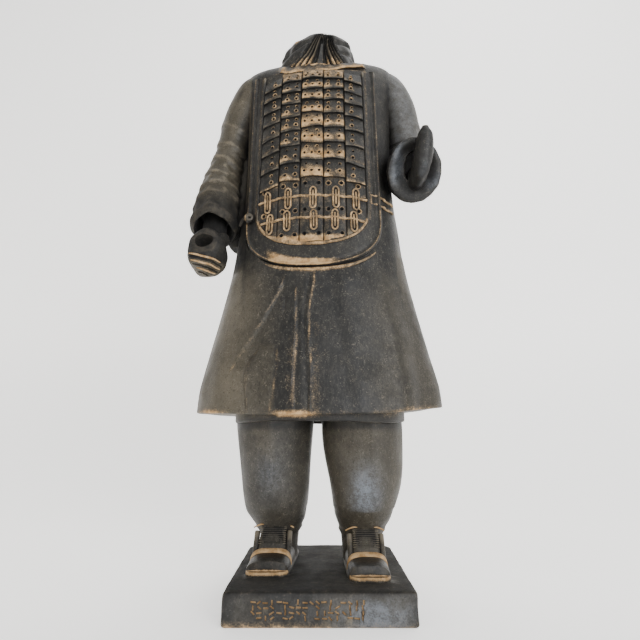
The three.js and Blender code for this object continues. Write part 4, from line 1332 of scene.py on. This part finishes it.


# Finish of the clay: blackened and burnished, with ochre rubbed bare on what stands proud, painted shade in
# hollows and gaps, and a painted sheen where parts face the light
@functools.cache
def clay_material():
    material = bpy.data.materials.new("blackened clay")
    material.use_nodes = True
    nodes, links = material.node_tree.nodes, material.node_tree.links
    nodes.clear()
    out = nodes.new("ShaderNodeOutputMaterial")
    shader = nodes.new("ShaderNodeBsdfPrincipled")
    links.new(shader.outputs[0], out.inputs[0])
    place = nodes.new("ShaderNodeTexCoord").outputs["Object"]

    def noisy(scale, detail=4.0, rough=0.55, stretch=(1.0, 1.0, 1.0)):
        moved = nodes.new("ShaderNodeMapping")
        moved.inputs["Scale"].default_value = stretch
        links.new(place, moved.inputs["Vector"])
        node = nodes.new("ShaderNodeTexNoise")
        node.inputs["Scale"].default_value = scale
        node.inputs["Detail"].default_value = detail
        node.inputs["Roughness"].default_value = rough
        links.new(moved.outputs[0], node.inputs["Vector"])
        return node.outputs["Fac"]

    def ranged(value, low, high, to_low=0.0, to_high=1.0):
        node = nodes.new("ShaderNodeMapRange")
        node.interpolation_type = "SMOOTHSTEP"
        for key, number in (("From Min", low), ("From Max", high), ("To Min", to_low), ("To Max", to_high)):
            node.inputs[key].default_value = number
        links.new(value, node.inputs["Value"])
        return node.outputs["Result"]

    def maths(operation, a, b):
        node = nodes.new("ShaderNodeMath")
        node.operation = operation
        for socket, value in zip(node.inputs, (a, b)):
            if isinstance(value, (int, float)):
                socket.default_value = value
            else:
                links.new(value, socket)
        return node.outputs[0]

    def mixed(factor, a, b):
        node = nodes.new("ShaderNodeMix")
        node.data_type = "RGBA"
        links.new(factor, node.inputs[0])
        for socket, value in ((node.inputs[6], a), (node.inputs[7], b)):
            if isinstance(value, tuple):
                socket.default_value = (*value, 1.0)
            else:
                links.new(value, socket)
        return node.outputs[2]

    def attribute(name):
        node = nodes.new("ShaderNodeAttribute")
        node.attribute_name = name
        return node.outputs["Fac"]

    def swung(value, amount):
        return maths("MULTIPLY", maths("SUBTRACT", value, 0.5), amount)

    wear_and_crest_highlight, bare, painted_sheen, tint = attribute("wear_and_crest_highlight"), attribute("bare"), attribute("painted_sheen"), attribute("tint")
    marked, sunk_shade, soot_and_shade_mask = attribute("marked"), attribute("sunk_shade"), attribute("soot_and_shade")
    shade, cavity = attribute("shade"), attribute("cavity")
    broad, fine, grit = noisy(26.0), noisy(190.0, 6.0, 0.68), noisy(1000.0, 4.0, 0.65)
    streaks = noisy(520.0, 5.0, 0.7, (1.0, 1.0, 0.45))
    dark = mixed(ranged(broad, 0.35, 0.66), (0.0080, 0.0080, 0.0080), (0.0170, 0.0162, 0.0148))
    olive = mixed(ranged(broad, 0.35, 0.66), (0.058, 0.049, 0.033), (0.092, 0.078, 0.054))
    cloth = mixed(maths("ADD", tint, swung(fine, 0.5)), dark, olive)
    brushed = mixed(ranged(streaks, 0.44, 0.72, 0.0, 0.30), cloth, (0.070, 0.065, 0.054))
    specks = ranged(maths("ADD", grit, swung(fine, 0.4)), 0.58, 0.70, 0.0, 0.42)
    speckled = mixed(specks, brushed, (0.150, 0.140, 0.118))
    smoke = ranged(maths("ADD", grit, swung(streaks, 0.5)), 0.32, 0.46, 0.6, 0.0)
    smoked = mixed(smoke, speckled, (0.008, 0.008, 0.008))
    patchy = ranged(maths("ADD", fine, swung(grit, 0.6)), 0.34, 0.64, 0.30, 1.0)
    # Painted sheen: a pale bluish highlight where parts face the light
    with_painted_sheen = mixed(maths("MULTIPLY", painted_sheen, patchy), smoked, (0.150, 0.168, 0.195))
    # Lighter where edges stand out: wear, and on the right sleeve a painted highlight along the fold crests
    edge = maths("ADD", wear_and_crest_highlight, maths("ADD", swung(fine, 0.7), swung(grit, 0.5)))
    greyed = mixed(ranged(edge, 0.30, 0.85, 0.0, 0.70), with_painted_sheen, (0.155, 0.130, 0.092))
    # Soot darkens the clay, and painted shade darkens under the hem, the left sleeve, the plinth's top and
    # beside the arms
    soot_and_shade_amount = maths("MULTIPLY", soot_and_shade_mask, ranged(fine, 0.30, 0.62, 1.0, 0.80))
    blackened = mixed(soot_and_shade_amount, greyed, (0.0070, 0.0068, 0.0066))
    rub = maths("ADD", maths("MAXIMUM", bare, marked), maths("ADD", swung(fine, 0.9), swung(grit, 1.0)))
    ochre = mixed(ranged(fine, 0.35, 0.65), (0.26, 0.150, 0.060), (0.49, 0.325, 0.165))
    half_rubbed = mixed(ranged(rub, 0.10, 0.55, 0.0, 0.38), blackened, (0.20, 0.140, 0.075))
    rubbed = mixed(ranged(rub, 0.38, 0.74, 0.0, 0.95), half_rubbed, ochre)
    kept = maths("SUBTRACT", 1.0, maths("MULTIPLY", marked, 0.75))
    # Painted shade in close hollows, from the share of sky that the piece blocks nearby
    painted_close_shade = ranged(maths("ADD", cavity, swung(fine, 0.3)), 0.28, 0.80, 0.0, 0.92)
    close_shaded = mixed(maths("MULTIPLY", kept, painted_close_shade), rubbed, (0.008, 0.0075, 0.007))
    deep = ranged(shade, 0.22, 0.90, 0.0, 0.88)
    shaded = mixed(maths("MULTIPLY", kept, deep), close_shaded, (0.009, 0.0085, 0.008))
    # Painted shade in the pits, slits, grooves and under the plates' laps
    colour = mixed(sunk_shade, shaded, (0.005, 0.005, 0.005))
    links.new(colour, shader.inputs["Base Color"])
    gloss = ranged(noisy(60.0, 5.0), 0.35, 0.7, 0.44, 0.62)
    burnished = maths("MAXIMUM", painted_sheen, maths("MULTIPLY", soot_and_shade_mask, 0.6))
    gloss = maths("SUBTRACT", gloss, maths("MULTIPLY", burnished, 0.16))
    sunk = maths("MAXIMUM", sunk_shade, ranged(cavity, 0.2, 0.8))
    dull = maths("MAXIMUM", attribute("dull"), maths("MULTIPLY", sunk, 0.7))
    worn_rough = maths("ADD", gloss, ranged(rub, 0.4, 0.7, 0.0, 0.25))
    rough = maths("ADD", worn_rough, maths("MULTIPLY", dull, 0.5))
    links.new(rough, shader.inputs["Roughness"])
    shader.inputs["Specular IOR Level"].default_value = 0.28
    relief = nodes.new("ShaderNodeBump")
    relief.inputs["Strength"].default_value = 0.45
    relief.inputs["Distance"].default_value = 0.0006
    grain = maths("ADD", maths("MULTIPLY", streaks, 0.7), maths("MULTIPLY", grit, 0.6))
    links.new(grain, relief.inputs["Height"])
    links.new(relief.outputs[0], shader.inputs["Normal"])
    return material


def curvature(mesh):
    """How far each vertex stands proud of its neighbours, smoothed: above 0 on ridges, below in hollows."""
    count = len(mesh.vertices)
    place, normal = np.empty(count * 3), np.empty(count * 3)
    mesh.vertices.foreach_get("co", place)
    mesh.vertices.foreach_get("normal", normal)
    place, normal = place.reshape(-1, 3), normal.reshape(-1, 3)
    ends = np.empty(len(mesh.edges) * 2, int)
    mesh.edges.foreach_get("vertices", ends)
    a, b = ends.reshape(-1, 2).T
    way = place[b] - place[a]
    length = np.linalg.norm(way, axis=1) + 1e-9
    bend_a = -np.einsum("ij,ij->i", way, normal[a]) / length
    bend_b = np.einsum("ij,ij->i", way, normal[b]) / length
    total, weight = np.zeros(count), np.full(count, 1e-9)
    for end, bend in ((a, bend_a), (b, bend_b)):
        np.add.at(total, end, bend * length)
        np.add.at(weight, end, length)
    return place, normal, smoothed(total / weight, a, b, 2), (a, b)


def smoothed(values, a, b, rounds):
    """Each vertex takes the mean of itself and its neighbours, some rounds over."""
    for _ in range(rounds):
        total, weight = values * 1.0, np.ones(len(values))
        np.add.at(total, a, values[b])
        np.add.at(total, b, values[a])
        np.add.at(weight, a, 1)
        np.add.at(weight, b, 1)
        values = total / weight
    return values


def blocked_sky(mesh, place, normal, near, far, rays=9):
    """The share of the sky over each vertex that the piece itself blocks, close by and further out."""
    skin = skin_of(mesh)
    side = np.cross(normal, np.where(np.abs(normal[:, 2:3]) < 0.9, [[0.0, 0.0, 1.0]], [[1.0, 0.0, 0.0]]))
    side /= np.linalg.norm(side, axis=1)[:, None] + 1e-12
    other = np.cross(normal, side)
    start = place + normal * 0.00012
    close, wide = np.zeros(len(place)), np.zeros(len(place))
    starts = [Vector(p) for p in start]
    for i in range(rays):
        r, turn = math.sqrt((i + 0.5) / rays), 2.39996 * i
        way = (normal * math.sqrt(1 - r * r) + side * (r * math.cos(turn)) + other * (r * math.sin(turn)))
        reach = np.array([skin.ray_cast(p, Vector(w), far)[3] or far for p, w in zip(starts, way)])
        wide += (1 - reach / far) ** 0.5 * (reach < far)
        close += (1 - np.clip(reach / near, 0, 1)) ** 0.5
    return close / rays, wide / rays


def near_line(x, h, line, width, reach):
    """1 along a line given as height and x, falling off sideways within a span of heights."""
    at_h = along(line, h)[:, 1]
    return bump(x - at_h, width) * ((h > reach[0]) & (h < reach[1]))


def bare_clay(place, normal, proud):
    """Where the ochre shows: the middle plates, the bib's edges, seams, hem, shoe edges and scarf."""
    x, y, h = in_figure(place)
    chest_x = (x - TRUNK_SHIFT) * math.cos(CHEST_TURN) + y * math.sin(CHEST_TURN) - BIB_SHIFT
    bare = np.zeros(len(x))
    in_bib = (h > BIB_BOTTOM - 4) & (h < BIB_TOP + 4) & (y < -18) & (np.abs(chest_x) < 60)
    spread = chest_x / splay(h)
    c = np.clip(np.searchsorted(COLUMN_EDGES, spread) - 1, 0, len(COLUMN_DROPS) - 1)
    edges = np.array(COLUMN_EDGES)
    share = np.clip((spread - edges[c]) / (edges[c + 1] - edges[c]), 0, 1)
    drops = np.array(COLUMN_DROPS, float)
    hang = drops[c, 0] + (drops[c, 1] - drops[c, 0]) * share
    level = h + hang * np.where(h > LACED_TOP - 6, 1, LACED_SHARE)
    rows = np.array(row_edges())[::-1]
    r = ROW_COUNT - np.clip(np.searchsorted(rows, level), 1, ROW_COUNT)
    w = np.clip((rows[::-1][r] - level) / (rows[::-1][r] - rows[::-1][r + 1]), 0, 1)
    field = outline_share(chest_x, h, FIELD_HALF_WIDTH, FIELD_ROUND_FROM, FIELD_BOTTOM)
    low = smoothstep(w, 0.30, 0.80)
    middle_rows = (r >= 4) & (r <= 6)
    middle = np.where(middle_rows, 0.35 + 0.5 * low, 0.10 + 0.66 * low)
    beside = np.where(middle_rows, 0.12 + 0.62 * low, 0.02 + 0.48 * low) * (1 - 0.3 * bump(share - 0.5, 0.2))
    darker_side = 0.62 * smoothstep(w, 0.55, 0.9) * (1 - 0.8 * smoothstep(share, 0.35, 0.8))
    outermost = 0.34 * smoothstep(w, 0.86, 0.97)
    wear = np.select([c == 2, c == 3, c == 1], [middle, beside, darker_side], outermost)
    wear = np.where((r == 0) & (c > 0) & (c < 4), 0.5, wear)
    wear = np.where(r >= ROW_COUNT - LACED_ROWS, 0.12 + 0.30 * bump(w, 0.16) + 0.30 * bump(w - 1, 0.16), wear)
    wear = wear * 0.92 + 0.25 * np.clip(proud * 4, -0.5, 1)
    bare = np.where(in_bib & (field < 0.985), wear, bare)
    foot = in_bib & (field < 1.0) & (h < 258)
    bare = np.maximum(bare, foot * 0.85 * smoothstep(250 - h, 0, 6) * smoothstep(field, 0.78, 0.9))
    bare = np.maximum(bare, in_bib * 0.42 * bump(field - 1.06, 0.02) * (np.abs(spread) > 38))
    edge = outline_share(chest_x, h, BIB_HALF_WIDTH, BIB_ROUND_FROM, BIB_BOTTOM)
    bare = np.maximum(bare, (0.34 + 0.16 * smoothstep(290 - h, 0, 25)) * bump(edge - 0.975, 0.012) * in_bib)
    patch = smoothstep(edge, 0.755 + 0.0022 * (x + 40), 0.90) * (1 - smoothstep(edge, 0.985, 1.0))
    patch = patch * smoothstep(x, -46, -34) * (1 - smoothstep(x, 0, 22))
    bare = np.maximum(bare, 0.95 * patch * (y < -30) * (h < 243) * (h > 218))
    below = bump((x + 8) / 30, 1.0) * bump(edge - 1.065, 0.035) * (h < 238) * (h > 205) * (y < -30)
    bare = np.maximum(bare, 0.75 * below)
    robe_front = (y < -25) & (h < 222)
    rubbed_lines = [(SEAM_C, 0.52, (108, 221)), (LINE_B, 0.48, (110, 205)), (LINE_A, 0.46, (141, 212)),
                    (LEAF_LEFT, 0.27, (111, 158)), (LEAF_RIGHT, 0.40, (111, 158))]
    for line, strength, reach in rubbed_lines:
        bare = np.maximum(bare, strength * near_line(x, h, line, 0.9, reach) * robe_front)
    streaks = bump(x + 20, 4) * (h < 165) * (h > 112) + bump(x + 2.5, 3.2) * (h < 178) * (h > 112)
    bare = np.maximum(bare, 0.20 * streaks * robe_front)
    over_hem = h - hem_height(x)
    hem = bump(over_hem - 0.6, 2.6) * (np.abs(over_hem) < 8) * (y < 20)
    hem_parts = 0.75 * bump(x + 80, 15) + 0.95 * bump(x + 18, 18) + 0.5 * bump(x - 68, 28)
    bare = np.maximum(bare, hem * np.clip(hem_parts, 0.12, 1) * (normal[:, 2] < 0.7))
    scarf = (h > 404) & (h < 430) & (y < -12) & (np.abs(x) < 40)
    base = smoothstep(424 - h, 0, 12)
    bare = np.maximum(bare, scarf * (0.26 * base + (0.28 + 0.42 * base) * smoothstep(proud, 0.02, 0.14)))
    for spec in SHOES:
        toe_x, toe_y = spec["toe"]
        toe = (np.abs(x - toe_x) < spec["half"] + 1) & (y < toe_y + 6) & (y > toe_y - 2)
        bare = np.maximum(bare, 0.92 * toe * (h > 0.9) * (h < 3.4) * (normal[:, 1] < -0.3))
    chip = bump((x + 21) / 2.6, 1.0) * bump((h - 447) / 2.4, 1.0) * (y < -4)
    bare = np.maximum(bare, 1.1 * chip)
    ledge = (h < -12) & (y < -PLINTH_DEPTH / 2 + 4)
    return np.maximum(bare, ledge * smoothstep(-h, 16.5, 20.5) * np.where(x < 5, 0.55, 0.30))


def finish_casting(casting):
    mesh = casting.data
    marks = np.empty(len(mesh.polygons), int)
    mesh.polygons.foreach_get("material_index", marks)
    mesh.materials.clear()
    mesh.materials.append(clay_material())
    mesh.polygons.foreach_set("material_index", np.zeros(len(mesh.polygons), int))
    mesh.set_sharp_from_angle(angle=math.radians(38))
    # The second face attribute carries the painted shade of the pit and gap faces
    for name, of_mark in (("marked", BARE_OF_MARK), ("sunk_shade", SHADE_OF_MARK)):
        table = np.array([of_mark.get(mark, 0.0) for mark in range(MARK_COUNT)], np.float32)
        layer = mesh.attributes.new(name, "FLOAT", "FACE")
        layer.data.foreach_set("value", table[marks])
    place, normal, bend, (a, b) = curvature(mesh)
    close, wide = blocked_sky(mesh, place, normal, 0.0030, 0.016)
    looks = {
        # Convex edges are lighter as wear; on the right sleeve they are boosted to paint highlights along the
        # fold crests
        "wear_and_crest_highlight": bend * (4 + 5 * on_right_sleeve(place)),
        "bare": bare_clay(place, normal, bend),
        # Nearby blocked sky, for painted shade in close hollows
        "cavity": smoothed(close, a, b, 1) * 1.9 - 0.12,
        "shade": smoothed(wide, a, b, 1) * 1.35 - 0.15,
        "dull": dull_clay(place, normal),
        # Painted sheen and highlight on parts that face the light
        "painted_sheen": painted_sheen_places(place, normal),
        "tint": olive_tint(place),
        # Soot, and painted shade under the hem, the left sleeve, the plinth's top and beside the arms
        "soot_and_shade": smoothed(soot_and_shade(place, normal), a, b, 1),
    }
    for name, values in looks.items():
        layer = mesh.attributes.new(name, "FLOAT", "POINT")
        layer.data.foreach_set("value", np.clip(values, 0, 1).astype(np.float32))


def on_right_sleeve(place):
    return smoothstep(-place[:, 0], 0.062, 0.070) * (place[:, 2] > 0.29)


def dull_clay(place, normal):
    """Where the burnish is missing: the plinth's top and the right sleeve's lower end."""
    plinth_top = (normal[:, 2] > 0.7) & (place[:, 2] < PLINTH_HEIGHT * MM + 0.003)
    sleeve_end = (place[:, 0] < -0.060) & (place[:, 2] > 0.245) & (place[:, 2] < 0.325)
    return np.maximum(0.93 * plinth_top, 0.75 * sleeve_end)


def painted_sheen_places(place, normal):
    """Painted sheen and highlight on parts that face the light: the plinth's front, toes, shins, left sleeve and
    cuff, and the fist.
    """
    x, y, h = in_figure(place)
    ahead = np.clip(-normal[:, 1], 0, 1)
    # Painted reflection on the plinth's front, strongest low down towards the figure's left
    front = smoothstep(ahead, 0.5, 0.95) * (y < -50) * (h < -0.6)
    painted_sheen = front * (0.12 + 0.55 * bump((x - 34) / 26, 1.0) * smoothstep(-h, 2, 8))
    for spec, strength in zip(SHOES, (0.15, 0.55)):
        toe_x, toe_y = spec["toe"]
        near = (np.abs(x - toe_x) < 19) & (y < toe_y + 12) & (y > toe_y - 2)
        painted_sheen = np.maximum(painted_sheen, near * strength * bump((h - 8.6) / 0.9, 1.0))
    for centre, h_mid, strength in ((-38, 66, 0.28), (33, 54, 0.95)):
        shin = bump((x - centre) / 11, 1.0) * bump((h - h_mid) / 17, 1.0) * (h > 20) * (h < 105) * (y < 0)
        shin = shin * smoothstep(ahead, 0.6, 1.0) * (h > 41.5)
        painted_sheen = np.maximum(painted_sheen, strength * shin)
    # Painted highlight on the left shoulder, where the key light falls
    shoulder = smoothstep(x, 58, 66) * smoothstep(h, 330, 350)
    painted_sheen = np.maximum(painted_sheen, 0.30 * shoulder * smoothstep(ahead, 0.2, 0.9))
    # Painted highlight along the left cuff's lower lip
    lip = (x > 50) * smoothstep(-y, 40, 46) * smoothstep(h, 262, 272) * (1 - smoothstep(h, 316, 334))
    crescent = bump((h - 290) / 8, 1.0) + 0.8 * bump((x - 62) / 4, 1.0) * (h > 290)
    painted_sheen = np.maximum(painted_sheen, lip * (0.06 + 0.95 * np.clip(crescent, 0, 1)) * smoothstep(ahead, 0.35, 0.95))
    fist = (x < -70) & (h > 226) & (h < 262) & (y < -46)
    return np.maximum(painted_sheen, fist * 0.14 * smoothstep(ahead, 0.5, 0.9))


def olive_tint(place):
    """The clay is browner on the robe's left and the right sleeve, and greyer in the middle and below."""
    x, y, h = in_figure(place)
    robe_tint = 0.95 * (1 - smoothstep(x, -72, -22)) + 0.34 * smoothstep(x, 22, 60)
    robe_tint = np.where(h < 105, 0.26 + 0.26 * (x > 0), robe_tint)
    leaf = (h < 160) & (x < -33) & (x > -53) & (y < -25)
    robe_tint = np.where(leaf, 0.48, robe_tint)
    upper = 0.06 + 0.42 * (np.abs(x) > 62) + 0.25 * (x < -62)
    cuff = (x > 50) & (y < -30)
    high = np.where((np.abs(x) < 58) & (y < -30), smoothstep(h, 196, 236), smoothstep(h, 170, 250))
    high = np.where(cuff & (h > 230), 1.0, high)
    return robe_tint + (np.where(cuff, 0.0, upper) - robe_tint) * high


def soot_and_shade(place, normal):
    """Where the clay is painted blackest: soot on the fist, cuffs, toes, knot, the plinth and the neck, and
    painted shade under the hem, on the plinth's top, under the left sleeve and beside the arms.
    """
    x, y, h = in_figure(place)
    black = 0.97 * smoothstep(-x, 57, 62) * (1 - smoothstep(h, 276, 312)) * (h > 226) * (y < 30)
    black = np.maximum(black, 0.6 * (np.abs(x + 58) < 7) * (h > 261) * (h < 274) * (y < -20))
    # Painted shade and dirt on the plinth's top, which faces up away from the light
    black = np.maximum(black, 0.85 * (normal[:, 2] > 0.7) * (h < 3) * (h > -3))
    # Painted shade under the hem
    black = np.maximum(black, 0.9 * (h < hem_height(x) - 0.6) * (h > 100))
    for spec in SHOES:
        toe_x, toe_y = spec["toe"]
        near = (np.abs(x - toe_x) < 19) & (y < toe_y + 20) & (y > toe_y - 3)
        black = np.maximum(black, near * 0.72 * (h > 3.2) * (h < 12))
        black = np.maximum(black, near * 0.97 * (h > 3.2) * (1 - smoothstep(h, 6.2, 8.2)))
        tongue_side = near * (np.abs(x - toe_x * 0.96) > spec["half"] * 0.66) * (h > 15.5) * (h < 28)
        black = np.maximum(black, 0.8 * tongue_side)
    front = (h < 0) & (y < -55)
    plinth_edges = np.maximum(1 - smoothstep(-h, 1.0, 5.0), smoothstep(np.abs(x), 52, 61))
    black = np.maximum(black, front * 0.92 * plinth_edges)
    black = np.maximum(black, front * 0.50 * (1 - smoothstep(x, -5, 20)))
    sleeve = (x > 52) & (h > 262) & (h < 350)
    # Painted shade on the left sleeve's downward-facing side
    facing_down = smoothstep(-normal[:, 2], 0.3, 0.9)
    black = np.maximum(black, sleeve * (0.40 + 0.5 * facing_down) * smoothstep(-y, 10, 30))
    # Painted shade in the gap between the arms and the trunk
    beside = (y < 15) * (h > 240) * (h < 400) * bump((np.abs(x + 4) - 66) / 4.5, 1.0)
    black = np.maximum(black, 0.7 * beside * (np.abs(normal[:, 0]) > 0.3))
    return np.maximum(black, 0.35 * (h > 420) * (np.abs(x) < 42) * (y < 30))


# The pieces are joined and cut into one casting, in the order in which the clay lies over clay
def cast_warrior():
    tree = setting_tree()
    casting = robe()
    casting.name = "warrior_casting"
    right_sleeve, right_cut = right_arm()
    combine(right_sleeve, [right_cut], "DIFFERENCE", GAP)
    fist, thumb, wrist, shaft_hole = right_fist()
    combine(fist, [thumb], "UNION")
    ridges, grooves = finger_lines(fist)
    combine(fist, grooves, "DIFFERENCE", GAP)
    combine(fist, ridges, "UNION", FINGER)
    combine(fist, [wrist], "UNION", GAP)
    combine(casting, [under_robe()], "UNION")
    combine(casting, [hem_hollow()], "DIFFERENCE")
    combine(casting, [bib_ridge()], "UNION", RIDGE)
    combine(casting, [bib()], "UNION")
    # The slit under the bib's edge takes the gap mark: painted shade in it
    combine(casting, [bib_slit()], "DIFFERENCE", GAP)
    field = plates()
    combine(field, [field_outline_prism()], "INTERSECT", 0)
    holes = pit_places()
    combine(field, [pit_rings(tree, holes)], "UNION", RIDGE)
    knot, ties = bib_ties()
    parts = [plinth(), leg("right leg", RIGHT_LEG, -1), leg("left leg", LEFT_LEG, 1), field]
    parts += knot + back_straps()
    parts += [right_sleeve, arm_web(), left_arm(), scarf_foot(), collar(), fist, left_hand()]
    trims = []
    for n, spec in enumerate(SHOES):
        bodies, edges = shoe("shoe %d" % n, spec)
        parts += bodies
        trims += edges
    sides, foot = field_rims()
    combine(casting, parts + sides, "UNION")
    combine(casting, trims, "UNION", TRIM)
    combine(casting, ties, "UNION", RIDGE)
    combine(casting, foot + row_lines() + [lacing_loops(tree)], "UNION", LACE)
    combine(casting, [neck_socket(), shaft_hole], "DIFFERENCE")
    # The pits take the pit mark: painted shade in the holes
    combine(casting, [pits(tree, holes)], "DIFFERENCE", PIT)
    combine(casting, [stroke_rows(tree)], "DIFFERENCE", STROKE)
    finish_casting(casting)
    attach(casting, "root")
    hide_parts("warrior")
    return casting


# Pale floor that sweeps up behind, and soft light
def studio():
    radius, start = 0.32, 0.25
    sweep = [(-3.0, 0.0), (start, 0.0)]
    sweep += [(start + radius * math.sin(a), radius - radius * math.cos(a))
              for a in np.linspace(0.1, math.pi / 2, 16)]
    sweep += [(start + radius, 3.0)]
    points = [(x, y, z) for y, z in sweep for x in (-4.0, 4.0)]
    faces = [[2 * n, 2 * n + 1, 2 * n + 3, 2 * n + 2] for n in range(len(sweep) - 1)]
    mesh = bpy.data.meshes.new("floor")
    mesh.from_pydata(points, [], faces)
    for face in mesh.polygons:
        face.use_smooth = True
    floor = bpy.data.objects.new("floor", mesh)
    bpy.context.scene.collection.objects.link(floor)
    material = bpy.data.materials.new("pale floor")
    material.use_nodes = True
    shader = material.node_tree.nodes["Principled BSDF"]
    shader.inputs["Base Color"].default_value = (0.94, 0.93, 0.91, 1)
    shader.inputs["Roughness"].default_value = 0.8
    shader.inputs["Emission Color"].default_value = (1.0, 0.99, 0.97, 1)
    shader.inputs["Emission Strength"].default_value = 0.70
    mesh.materials.append(material)
    world = bpy.data.worlds.new("soft room")
    world.use_nodes = True
    sky = world.node_tree.nodes["Background"]
    sky.inputs["Color"].default_value = (0.94, 0.97, 1.0, 1)
    sky.inputs["Strength"].default_value = 0.34
    bpy.context.scene.world = world
    lamps = [
        ("key", (0.85, -1.5, 0.55), (0, 0, 0.24), 1.1, 32.0, (0.97, 0.98, 1.0)),
        ("fill", (-1.6, -0.9, 0.6), (0, 0, 0.24), 1.4, 10.0, (1.0, 0.93, 0.84)),
        ("wall", (0.35, -0.05, 1.35), (0.15, 0.55, 0.25), 1.2, 8.0, (1.0, 0.99, 0.97)),
    ]
    for name, spot, aim, size, watts, colour in lamps:
        data = bpy.data.lights.new(name, "AREA")
        data.size = size
        data.energy = watts
        data.color = colour
        lamp = bpy.data.objects.new(name, data)
        lamp.location = spot
        lamp.rotation_euler = (Vector(aim) - Vector(spot)).to_track_quat("-Z", "Y").to_euler()
        bpy.context.scene.collection.objects.link(lamp)


photo_camera()
cast_warrior()
studio()
